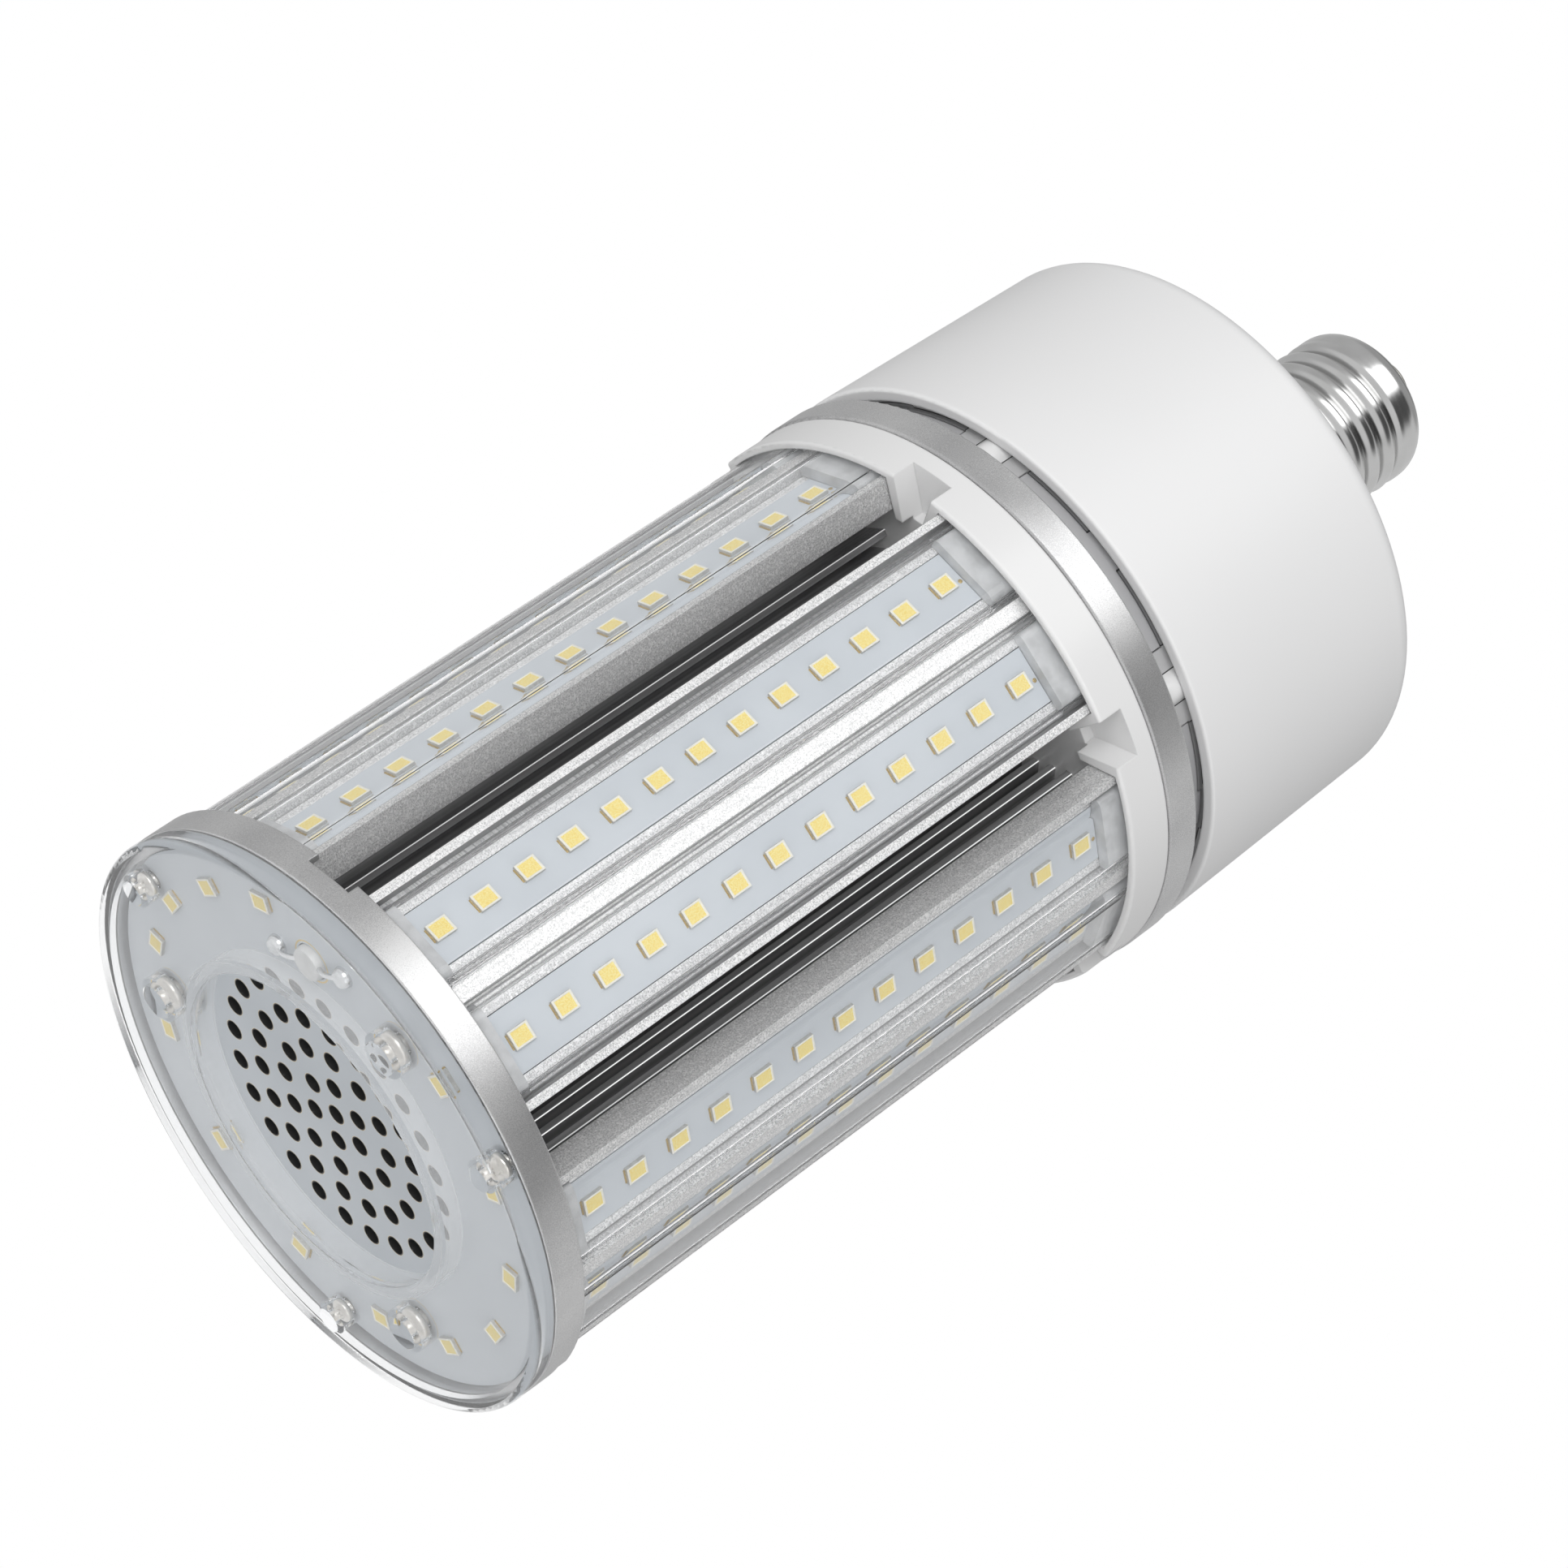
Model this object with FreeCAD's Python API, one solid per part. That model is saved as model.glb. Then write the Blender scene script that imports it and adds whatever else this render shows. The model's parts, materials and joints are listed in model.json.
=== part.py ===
import FreeCAD, Part
import math
import os

# Corn LED bulb in millimetres, standing on its clear end cover with the screw base up
# The origin is the centre of the cover's face, and +Z runs along the lamp to the base contact

# How many of each
PAIR_COUNT = 6
LED_COUNT = 13
VENT_RINGS = 4
SCREW_COUNT = 3
FIN_COUNT = 4
THREAD_TURNS = 5

# Running and assembly clearances
FIT = 0.15
SEAT_GAP = 0.1
SEAM_GAP = 0.25

# Clear end cover
BODY_RADIUS = 47.0
COVER_FACE = 1.6
COVER_RIM_HEIGHT = 3.5
COVER_EDGE_ROUND = 1.1
COVER_OPENING_INSET = 21.6
COVER_WELL_DRAFT = 0.9
COVER_WELL_ROUND = 0.7
COVER_WALL = 1.4
BOARD_DEPTH = 4.8

# Screws through the end cover
INNER_SCREW_INSET = 13.0
INNER_SCREW_ANGLE = 0.0
INNER_HEAD_RADIUS = 2.6
INNER_HEAD_HEIGHT = 1.5
INNER_SHANK_RADIUS = 1.3
INNER_SCREW_LENGTH = 12.0
OUTER_SCREW_INSET = 5.1
OUTER_SCREW_ANGLE = 30.0
OUTER_HEAD_RADIUS = 1.9
OUTER_HEAD_HEIGHT = 1.2
OUTER_SHANK_RADIUS = 1.0
INNER_BOSS_WALL = 0.9
OUTER_BOSS_WALL = 0.6
BOSS_FLOOR = 0.8

# End LED board
END_BOARD_INSET = 2.5
END_BOARD_THICK = 1.2
VENT_MARGIN = 3.28
VENT_RADIUS = 1.45
LEAD_HOLE_RADIUS = 2.9
LEAD_HOLE_INSET = 15.4
LEAD_HOLE_ANGLE = 88.0
END_LED_INSET = 9.3
END_LED_ANGLES = (12, 32, 52.5, 73, 132, 157.5, 182.5, 207, 231.5, 257.5, 285, 315, 344.5)
SOLDER_RADIUS = 1.7
SOLDER_HEIGHT = 1.2
SOLDER_OFFSETS = ((2.9, 11.7), (-0.9, -13.5))
SEAL_RISE = 1.1

# LEDs of every board
LED_LENGTH = 3.5
LED_WIDTH = 2.8
LED_HEIGHT = 0.7

# Dust mesh behind the vents
MESH_OVERLAP = 0.1
MESH_THICK = 0.4
MESH_PITCH = 4.4
MESH_WIRE = 0.8

# End frame
FRAME_FRONT = COVER_RIM_HEIGHT
FRAME_BAND_HEIGHT = 5.4
FRAME_BAND_WALL = 1.1
FRAME_BAND_ROUND = 0.3
FRAME_PLATE = 1.5
FRAME_HOLE_LEDGE = 1.5
FRAME_NOTCH_DEPTH = 1.8
FRAME_NOTCH_WIDTH = 8.2
FRAME_NOTCH_ANGLE = 90.0

# Heat sink profile, one for each pair of panels
PANEL_TURN = 12.0
SINK_LENGTH = 112.5
SEAT_INSET = 5.6
STRIP_BOARD_MARGIN = 2.9
STRIP_BOARD_THICK = 1.0
RIDGE_HEIGHT = 0.9
LIP_WALL = 1.35
LIP_HEIGHT = 3.3
PLATFORM_THICK = 1.8
DIVIDER_HEIGHT = 3.4
WEB_THICK = 2.8
WEB_INSET = 26.1
FIN_INSET = 15.6
FIN_PITCH = 3.3
FIN_THICK = 1.1
FIN_SPREAD = 17.5
PORT_RADIUS = 2.7

# Strip boards, their covers and end seals
FRONT_LED_MARGIN = 7.5
REAR_LED_MARGIN = 9.0
BOARD_MARGIN = 3.4
STRIP_COVER_MARGIN = 1.4
STRIP_COVER_RISE = 4.0
STRIP_COVER_WALL = 1.0
STRIP_COVER_ROUND = 2.2
GROOVE_RISE = 0.2
LEG_GAP = 0.3

# Collar at the neck
COLLAR_OVERLAP = 2.2
COLLAR_HEIGHT = 7.7
COLLAR_PLATE = 3.0
COLLAR_WALL = 2.2
COLLAR_EDGE_ROUND = 0.5
PLUG_DEPTH = 8.0
SCOOP_MOUTH = 3.9
SCOOP_THROAT = 1.6
SCOOP_DEPTH = 8.5
SCOOP_CUT = 2.0
SCOOP_OVERSHOOT = 1.0
LEAD_PASSAGE_RADIUS = 5.0

# Trim ring, neck base and housing lid
TRIM_PROUD = 0.3
TRIM_HEIGHT = 5.6
TRIM_EDGE_ROUND = 0.4
NECK_INSET = 3.5
NECK_WALL = 2.2
NECK_FLOOR = 2.0
TAB_REACH = 4.2
TAB_HALF_ANGLE = 21.5
TAB_BUMP = 0.7
TAB_BUMP_HALF_ANGLE = 4.5
GAP_HEIGHT = 3.8
LID_INSET = 1.4
LID_PLATE = 2.0
PILLAR_RADIUS = 3.0
PILLAR_INSET = 5.2

# Driver housing
HOUSING_PROUD = 0.1
HOUSING_TAPER = 1.1
HOUSING_LENGTH = 46.6
HOUSING_WALL = 2.0
HOUSING_SHOULDER = 3.0
HOUSING_EDGE_ROUND = 0.5
HOUSING_CAP_RISE = 7.0
HOUSING_STEM_RADIUS = 15.5
HOUSING_STEM_LENGTH = 9.0
SPIGOT_LENGTH = 8.0

# Screw base
SHELL_RADIUS = 13.1
SHELL_WALL = 0.5
SHELL_SKIRT = 2.6
THREAD_PITCH = 3.63
THREAD_DEPTH = 0.8
BEAD_RADIUS = 1.15
SHELL_LAND = 0.9
SHELL_SHOULDER = 4.4
INSULATOR_RADIUS = 7.4
INSULATOR_HEIGHT = 3.2
INSULATOR_FLANGE = 0.9
CONTACT_RADIUS = 4.6
CONTACT_HEIGHT = 1.8
CONTACT_ROUND = 0.8

# Driver, whose parts have their sizes and places as shares of its board's length
DRIVER_WIDTH = 60.0
DRIVER_END_MARGIN = 3.2
DRIVER_THICK = 1.6
DRIVER_OFFSET = -9.0
TRANSFORMER_SHARE = 0.5
TRANSFORMER_PLACE = (-0.35, 0.1)
CAPACITOR_SHARE = 0.155
CAPACITOR_LENGTH = 20.0
CAPACITOR_PLACES = ((0.1625, 0.25), (0.525, 0.25))
CHOKE_SHARE = 0.15
CHOKE_TUBE_SHARE = 0.065
CHOKE_PLACE = (0.3, 0.7)
RECTIFIER_SHARE = 0.225
RECTIFIER_HEIGHT = 3.0
RECTIFIER_PLACE = (-0.35, 0.8)

# Distances out from the axis that follow the body's radius
FRAME_INNER_RADIUS = BODY_RADIUS - FRAME_BAND_WALL
END_BOARD_RADIUS = BODY_RADIUS - END_BOARD_INSET
COVER_OPENING_RADIUS = BODY_RADIUS - COVER_OPENING_INSET
MESH_RADIUS = COVER_OPENING_RADIUS + MESH_OVERLAP
VENT_PITCH = (COVER_OPENING_RADIUS - VENT_MARGIN) / VENT_RINGS
INNER_SCREW_CIRCLE = BODY_RADIUS - INNER_SCREW_INSET
OUTER_SCREW_CIRCLE = BODY_RADIUS - OUTER_SCREW_INSET
END_LED_CIRCLE = BODY_RADIUS - END_LED_INSET
LEAD_HOLE_CIRCLE = BODY_RADIUS - LEAD_HOLE_INSET
SEAT_DISTANCE = BODY_RADIUS - SEAT_INSET
WEB_INNER = BODY_RADIUS - WEB_INSET
FIN_FIRST = BODY_RADIUS - FIN_INSET
PLUG_INNER = BODY_RADIUS - PLUG_DEPTH
TRIM_RADIUS = BODY_RADIUS + TRIM_PROUD
NECK_RADIUS = BODY_RADIUS - NECK_INSET
PILLAR_CIRCLE = BODY_RADIUS - PILLAR_INSET
HOUSING_FRONT_RADIUS = BODY_RADIUS + HOUSING_PROUD
HOUSING_REAR_RADIUS = HOUSING_FRONT_RADIUS - HOUSING_TAPER

# Levels along the lamp
BOARD_BACK = BOARD_DEPTH + END_BOARD_THICK
SINK_START = BOARD_BACK + FRAME_PLATE
SINK_END = SINK_START + SINK_LENGTH
FRAME_REAR = FRAME_FRONT + FRAME_BAND_HEIGHT
LED_FIRST = SINK_START + FRONT_LED_MARGIN
LED_LAST = SINK_END - REAR_LED_MARGIN
LED_PITCH = (LED_LAST - LED_FIRST) / (LED_COUNT - 1)
STRIP_START = LED_FIRST - BOARD_MARGIN
STRIP_END = LED_LAST + BOARD_MARGIN
COLLAR_FRONT = SINK_END - COLLAR_OVERLAP
COLLAR_REAR = COLLAR_FRONT + COLLAR_HEIGHT
PLATE_REAR = SINK_END + COLLAR_PLATE
TRIM_REAR = COLLAR_REAR + TRIM_HEIGHT
HOUSING_FRONT = TRIM_REAR + GAP_HEIGHT
LID_FRONT = HOUSING_FRONT + LID_INSET
LID_REAR = LID_FRONT + LID_PLATE
HOUSING_REAR = HOUSING_FRONT + HOUSING_LENGTH
STEM_START = HOUSING_REAR + HOUSING_CAP_RISE
STEM_END = STEM_START + HOUSING_STEM_LENGTH
THREAD_START = STEM_END + SHELL_SKIRT
SHOULDER_START = THREAD_START + THREAD_TURNS * THREAD_PITCH
SHELL_END = SHOULDER_START + SHELL_LAND + SHELL_SHOULDER
CONTACT_START = SHELL_END + INSULATOR_HEIGHT
DRIVER_START = LID_REAR + SEAT_GAP
DRIVER_LENGTH = HOUSING_REAR - LID_REAR - DRIVER_END_MARGIN

# Sizes of the driver's parts
TRANSFORMER_SIZE = TRANSFORMER_SHARE * DRIVER_LENGTH
CAPACITOR_RADIUS = CAPACITOR_SHARE * DRIVER_LENGTH
CHOKE_RADIUS = CHOKE_SHARE * DRIVER_LENGTH
CHOKE_TUBE = CHOKE_TUBE_SHARE * DRIVER_LENGTH
RECTIFIER_SIZE = RECTIFIER_SHARE * DRIVER_LENGTH

# Levels out from the axis at a panel
RIDGE_TOP = SEAT_DISTANCE + RIDGE_HEIGHT
BOARD_TOP = SEAT_DISTANCE + STRIP_BOARD_THICK
GROOVE_FLOOR = SEAT_DISTANCE + GROOVE_RISE
LEG_FOOT = GROOVE_FLOOR + LEG_GAP
LIP_TOP = SEAT_DISTANCE + LIP_HEIGHT
PLATFORM_BACK = SEAT_DISTANCE - PLATFORM_THICK
COVER_TOP = SEAT_DISTANCE + STRIP_COVER_RISE

# Places across a panel
PANEL_HALF = SEAT_DISTANCE * math.tan(math.radians(PANEL_TURN))
STRIP_COVER_HALF = PANEL_HALF - STRIP_COVER_MARGIN
STRIP_BOARD_WIDTH = 2 * (STRIP_COVER_HALF - STRIP_BOARD_MARGIN)
CHANNEL_EDGE = STRIP_BOARD_WIDTH / 2 + FIT
GROOVE_INNER = STRIP_COVER_HALF - STRIP_COVER_WALL - FIT
GROOVE_OUTER = STRIP_COVER_HALF + FIT
LIP_OUTER = GROOVE_OUTER + LIP_WALL

PAIR_ANGLES = [index * 360.0 / PAIR_COUNT for index in range(PAIR_COUNT)]
SLOT_ANGLES = [angle + 180.0 / PAIR_COUNT for angle in PAIR_ANGLES]
STRIP_ANGLES = [pair + side * PANEL_TURN for pair in PAIR_ANGLES for side in (-1, 1)]
LED_LEVELS = [LED_FIRST + index * LED_PITCH for index in range(LED_COUNT)]

AXIS = FreeCAD.Vector(0, 0, 1)
ACROSS = FreeCAD.Vector(0, 1, 0)
CENTRE = FreeCAD.Vector(0, 0, 0)


def point(x, y, z=0.0):
    return FreeCAD.Vector(x, y, z)


def polar(radius, degrees, z=0.0):
    angle = math.radians(degrees)
    return point(radius * math.cos(angle), radius * math.sin(angle), z)


def panel_point(across, distance):
    turn = math.radians(PANEL_TURN)
    along_x = distance * math.cos(turn) - across * math.sin(turn)
    along_y = distance * math.sin(turn) + across * math.cos(turn)
    return point(along_x, along_y)


def mirrored(places):
    return [point(place.x, -place.y, place.z) for place in reversed(places)]


def prism(places, bottom, top):
    raised = [point(place.x, place.y, bottom) for place in places]
    raised.append(raised[0])
    return Part.Face(Part.makePolygon(raised)).extrude(AXIS * (top - bottom))


def disc(radius, bottom, top, place=CENTRE):
    return Part.makeCylinder(radius, top - bottom, point(place.x, place.y, bottom), AXIS)


def tube(outer, inner, bottom, top):
    return disc(outer, bottom, top).cut(disc(inner, bottom, top))


def block(x_range, y_range, z_range):
    sides = [high - low for low, high in (x_range, y_range, z_range)]
    return Part.makeBox(*sides, point(x_range[0], y_range[0], z_range[0]))


def turned(shape, degrees):
    copy = shape.copy()
    copy.rotate(CENTRE, AXIS, degrees)
    return copy


def revolved(edges):
    return Part.Face(Part.Wire(edges)).revolve(CENTRE, AXIS, 360)


def profile_edges(places):
    closed = places + [places[0]]
    return [Part.makeLine(start, end) for start, end in zip(closed, closed[1:])]


def arc(start, middle, end):
    return Part.Arc(start, middle, end).toShape()


def round_corner(centre, radius, start_degrees, end_degrees):
    angles = (start_degrees, (start_degrees + end_degrees) / 2, end_degrees)
    places = [centre + polar(radius, degrees) for degrees in angles]
    return arc(*places)


def is_circle_at(edge, radius, level):
    curve = edge.Curve
    if not isinstance(curve, Part.Circle):
        return False
    return abs(curve.Radius - radius) < FIT / 2 and abs(curve.Center.z - level) < FIT / 2


def rounded_at(shape, size, radius, level):
    edges = [edge for edge in shape.Edges if is_circle_at(edge, radius, level)]
    return shape.makeFillet(size, edges)


def sector(outer, inner, bottom, top, half_angle, degrees):
    reach = 2 * outer
    corners = [CENTRE, polar(reach, -half_angle), polar(reach, half_angle)]
    wedge = prism(corners, bottom, top)
    return turned(tube(outer, inner, bottom, top).common(wedge), degrees)


def screw_places():
    step = 360.0 / SCREW_COUNT
    inner = [polar(INNER_SCREW_CIRCLE, INNER_SCREW_ANGLE + index * step) for index in range(SCREW_COUNT)]
    outer = [polar(OUTER_SCREW_CIRCLE, OUTER_SCREW_ANGLE + index * step) for index in range(SCREW_COUNT)]
    return inner, outer


def screw_holes(bottom, top):
    inner, outer = screw_places()
    holes = [disc(INNER_SHANK_RADIUS + FIT, bottom, top, place) for place in inner]
    holes += [disc(OUTER_SHANK_RADIUS + FIT, bottom, top, place) for place in outer]
    return holes


def lead_hole(bottom, top):
    return disc(LEAD_HOLE_RADIUS, bottom, top, polar(LEAD_HOLE_CIRCLE, LEAD_HOLE_ANGLE))


# The cover is a shallow dish with a centre well and screw bosses that stand on the end board
def make_end_cover():
    rim_inner = FRAME_INNER_RADIUS - FIT
    well_foot = COVER_OPENING_RADIUS + COVER_WELL_DRAFT
    foot = BOARD_DEPTH - SEAT_GAP
    places = [
        point(COVER_OPENING_RADIUS, 0, 0),
        point(BODY_RADIUS, 0, 0),
        point(BODY_RADIUS, 0, COVER_RIM_HEIGHT),
        point(rim_inner, 0, COVER_RIM_HEIGHT),
        point(rim_inner, 0, BOARD_BACK - SEAT_GAP),
        point(END_BOARD_RADIUS + FIT, 0, BOARD_BACK - SEAT_GAP),
        point(END_BOARD_RADIUS + FIT, 0, COVER_FACE),
        point(well_foot + COVER_WALL, 0, COVER_FACE),
        point(well_foot + COVER_WALL, 0, foot),
        point(well_foot, 0, foot),
    ]
    cover = revolved(profile_edges(places))
    cover = rounded_at(cover, COVER_EDGE_ROUND, BODY_RADIUS, 0)
    cover = rounded_at(cover, COVER_WELL_ROUND, COVER_OPENING_RADIUS, 0)
    inner, outer = screw_places()
    inner_pocket = INNER_HEAD_RADIUS + FIT
    outer_pocket = OUTER_HEAD_RADIUS + FIT
    bosses = [disc(inner_pocket + INNER_BOSS_WALL, 0, foot, place) for place in inner]
    bosses += [disc(outer_pocket + OUTER_BOSS_WALL, 0, foot, place) for place in outer]
    pockets = [disc(inner_pocket, 0, foot - BOSS_FLOOR, place) for place in inner]
    pockets += [disc(outer_pocket, 0, foot - BOSS_FLOOR, place) for place in outer]
    return cover.fuse(bosses).cut(pockets + screw_holes(0, foot)).removeSplitter()


def make_end_screws():
    seat = BOARD_DEPTH - SEAT_GAP - BOSS_FLOOR
    inner, outer = screw_places()
    screws = []
    for place in inner:
        head = disc(INNER_HEAD_RADIUS, seat - INNER_HEAD_HEIGHT, seat, place)
        shank = disc(INNER_SHANK_RADIUS, seat, seat + INNER_SCREW_LENGTH, place)
        screws.append(head.fuse(shank))
    for place in outer:
        head = disc(OUTER_HEAD_RADIUS, seat - OUTER_HEAD_HEIGHT, seat, place)
        shank = disc(OUTER_SHANK_RADIUS, seat, SINK_START, place)
        screws.append(head.fuse(shank))
    return Part.makeCompound(screws)


# Vents lie on rings of six, twelve, eighteen and twenty-four round a centre hole
def vent_places():
    places = [CENTRE]
    for ring in range(1, VENT_RINGS + 1):
        count = 6 * ring
        for index in range(count):
            places.append(polar(ring * VENT_PITCH, 90 + index * 360.0 / count))
    return places


def make_end_board():
    board = disc(END_BOARD_RADIUS, BOARD_DEPTH, BOARD_BACK)
    holes = [disc(VENT_RADIUS, BOARD_DEPTH, BOARD_BACK, place) for place in vent_places()]
    holes += screw_holes(BOARD_DEPTH, BOARD_BACK)
    holes.append(lead_hole(BOARD_DEPTH, BOARD_BACK))
    return board.cut(holes)


def make_end_board_leds():
    leds = []
    for angle in END_LED_ANGLES:
        radial = (END_LED_CIRCLE - LED_WIDTH / 2, END_LED_CIRCLE + LED_WIDTH / 2)
        tangential = (-LED_LENGTH / 2, LED_LENGTH / 2)
        led = block(radial, tangential, (BOARD_DEPTH - LED_HEIGHT, BOARD_DEPTH))
        leds.append(turned(led, angle))
    return Part.makeCompound(leds)


def make_solder_joints():
    joints = []
    for outwards, sideways in SOLDER_OFFSETS:
        place = polar(LEAD_HOLE_CIRCLE + outwards, LEAD_HOLE_ANGLE + sideways, BOARD_DEPTH)
        ball = Part.makeSphere(SOLDER_RADIUS, place)
        cap = disc(SOLDER_RADIUS, BOARD_DEPTH - SOLDER_HEIGHT, BOARD_DEPTH, place)
        joints.append(ball.common(cap))
    return Part.makeCompound(joints)


def make_dust_mesh():
    sheet = disc(MESH_RADIUS, BOARD_BACK, BOARD_BACK + MESH_THICK)
    gap_half = (MESH_PITCH - MESH_WIRE) / 2
    rim = MESH_RADIUS - FRAME_HOLE_LEDGE - MESH_WIRE
    count = int(MESH_RADIUS / MESH_PITCH) + 1
    gaps = []
    for row in range(-count, count + 1):
        for column in range(-count, count + 1):
            x = column * MESH_PITCH
            y = row * MESH_PITCH
            if math.hypot(abs(x) + gap_half, abs(y) + gap_half) < rim:
                span_x = (x - gap_half, x + gap_half)
                span_y = (y - gap_half, y + gap_half)
                gaps.append(block(span_x, span_y, (BOARD_BACK, BOARD_BACK + MESH_THICK)))
    return sheet.cut(gaps)


# The frame plate carries the board, the mesh and the six heat sinks, inside a silver outer band
def make_end_frame():
    band = tube(BODY_RADIUS, FRAME_INNER_RADIUS, FRAME_FRONT, FRAME_REAR)
    band = rounded_at(band, FRAME_BAND_ROUND, BODY_RADIUS, FRAME_FRONT)
    band = rounded_at(band, FRAME_BAND_ROUND, BODY_RADIUS, FRAME_REAR)
    plate = disc(FRAME_INNER_RADIUS, BOARD_BACK, SINK_START)
    opening = disc(MESH_RADIUS - FRAME_HOLE_LEDGE, BOARD_BACK, SINK_START)
    mesh_seat = disc(MESH_RADIUS + FIT, BOARD_BACK, BOARD_BACK + MESH_THICK)
    cuts = [opening, mesh_seat, lead_hole(BOARD_BACK, SINK_START)]
    cuts += screw_holes(BOARD_BACK, SINK_START)
    notch_reach = (FRAME_INNER_RADIUS - FRAME_BAND_WALL, BODY_RADIUS + FRAME_BAND_WALL)
    notch_width = (-FRAME_NOTCH_WIDTH / 2, FRAME_NOTCH_WIDTH / 2)
    notch = block(notch_reach, notch_width, (FRAME_REAR - FRAME_NOTCH_DEPTH, FRAME_REAR))
    step = 360.0 / SCREW_COUNT
    cuts += [turned(notch, FRAME_NOTCH_ANGLE + index * step) for index in range(SCREW_COUNT)]
    return band.fuse(plate).cut(cuts).removeSplitter()


# One side of the profile, from the top of the divider to the inner end of the web
def sink_outline():
    half_web = WEB_THICK / 2
    turn = math.radians(PANEL_TURN)
    web_top = (PLATFORM_BACK - half_web * math.sin(turn)) / math.cos(turn)
    divider_foot = panel_point(-GROOVE_OUTER, GROOVE_FLOOR)
    return [
        point(SEAT_DISTANCE + DIVIDER_HEIGHT, divider_foot.y),
        divider_foot,
        panel_point(-GROOVE_INNER, GROOVE_FLOOR),
        panel_point(-GROOVE_INNER, RIDGE_TOP),
        panel_point(-CHANNEL_EDGE, RIDGE_TOP),
        panel_point(-CHANNEL_EDGE, SEAT_DISTANCE),
        panel_point(CHANNEL_EDGE, SEAT_DISTANCE),
        panel_point(CHANNEL_EDGE, RIDGE_TOP),
        panel_point(GROOVE_INNER, RIDGE_TOP),
        panel_point(GROOVE_INNER, GROOVE_FLOOR),
        panel_point(GROOVE_OUTER, GROOVE_FLOOR),
        panel_point(GROOVE_OUTER, LIP_TOP),
        panel_point(LIP_OUTER, LIP_TOP),
        panel_point(LIP_OUTER, PLATFORM_BACK),
        point(web_top, half_web),
        point(WEB_INNER, half_web),
    ]


# Each heat sink is one extrusion: a roof with two board seats, and a web with fins and a screw port
def make_heat_sink():
    outline = sink_outline()
    sink = prism(outline + mirrored(outline), SINK_START, SINK_END)
    fins = []
    for index in range(FIN_COUNT):
        distance = FIN_FIRST - index * FIN_PITCH
        reach = distance * math.tan(math.radians(FIN_SPREAD))
        span = (distance - FIN_THICK / 2, distance + FIN_THICK / 2)
        fins.append(block(span, (-reach, reach), (SINK_START, SINK_END)))
    port_place = point(INNER_SCREW_CIRCLE, 0)
    port = disc(PORT_RADIUS, SINK_START, SINK_END, port_place)
    bore = disc(INNER_SHANK_RADIUS + FIT, SINK_START, SINK_END, port_place)
    return sink.fuse(fins + [port]).cut(bore).removeSplitter()


def make_strip_board():
    half = STRIP_BOARD_WIDTH / 2
    return block((SEAT_DISTANCE, BOARD_TOP), (-half, half), (STRIP_START, STRIP_END))


def make_strip_leds():
    leds = []
    for level in LED_LEVELS:
        height = (BOARD_TOP, BOARD_TOP + LED_HEIGHT)
        width = (-LED_WIDTH / 2, LED_WIDTH / 2)
        leds.append(block(height, width, (level - LED_LENGTH / 2, level + LED_LENGTH / 2)))
    return leds


def arch_half(half, top, foot, radius):
    side = top - radius
    shoulder = half - radius
    return [
        Part.makeLine(point(foot, half), point(side, half)),
        round_corner(point(side, shoulder), radius, 90, 0),
        Part.makeLine(point(top, shoulder), point(top, 0)),
    ]


def arch_whole(half, top, foot, radius):
    right = arch_half(half, top, foot, radius)
    left = [edge.mirror(CENTRE, ACROSS) for edge in right]
    return right, left


# The cover is an arch whose two legs stand in the grooves of the heat sink
def make_strip_cover():
    inner_half = STRIP_COVER_HALF - STRIP_COVER_WALL
    inner_top = COVER_TOP - STRIP_COVER_WALL
    inner_round = STRIP_COVER_ROUND - STRIP_COVER_WALL
    outer_right, outer_left = arch_whole(STRIP_COVER_HALF, COVER_TOP, LEG_FOOT, STRIP_COVER_ROUND)
    inner_right, inner_left = arch_whole(inner_half, inner_top, LEG_FOOT, inner_round)
    feet = [
        Part.makeLine(point(LEG_FOOT, side * inner_half), point(LEG_FOOT, side * STRIP_COVER_HALF))
        for side in (-1, 1)
    ]
    edges = outer_right + outer_left + inner_right + inner_left + feet
    wire = Part.Wire(Part.__sortEdges__(edges))
    bottom = SINK_START + SEAT_GAP
    face = Part.Face(wire)
    face.translate(AXIS * bottom)
    return face.extrude(AXIS * (SINK_LENGTH - 2 * SEAT_GAP))


# A seal fills the end of a strip cover and rests on the board seat
def make_strip_seal(bottom, top):
    half = STRIP_COVER_HALF - STRIP_COVER_WALL - SEAT_GAP
    crown = COVER_TOP - STRIP_COVER_WALL - SEAT_GAP
    corner = STRIP_COVER_ROUND - STRIP_COVER_WALL
    tongue = STRIP_BOARD_WIDTH / 2
    ledge = BOARD_TOP
    right, left = arch_whole(half, crown, ledge, corner)
    places = [
        point(ledge, half),
        point(ledge, tongue),
        point(SEAT_DISTANCE, tongue),
        point(SEAT_DISTANCE, -tongue),
        point(ledge, -tongue),
        point(ledge, -half),
    ]
    foot = [Part.makeLine(start, end) for start, end in zip(places, places[1:])]
    face = Part.Face(Part.Wire(Part.__sortEdges__(right + left + foot)))
    face.translate(AXIS * bottom)
    return face.extrude(AXIS * (top - bottom))


def make_strip_seals():
    front = make_strip_seal(SINK_START + SEAT_GAP, STRIP_START - SEAT_GAP)
    rear = make_strip_seal(STRIP_END + SEAT_GAP, SINK_END - SEAT_GAP)
    seals = [turned(seal, angle) for angle in STRIP_ANGLES for seal in (front, rear)]
    return Part.makeCompound(seals)


def pair_pocket(bottom, top):
    side = LIP_OUTER + FIT
    reach = 2 * BODY_RADIUS
    corner = [panel_point(side, reach), panel_point(side, 0)]
    pocket = prism(corner + mirrored(corner), bottom, top)
    return pocket.common(disc(FRAME_INNER_RADIUS, bottom, top))


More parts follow.
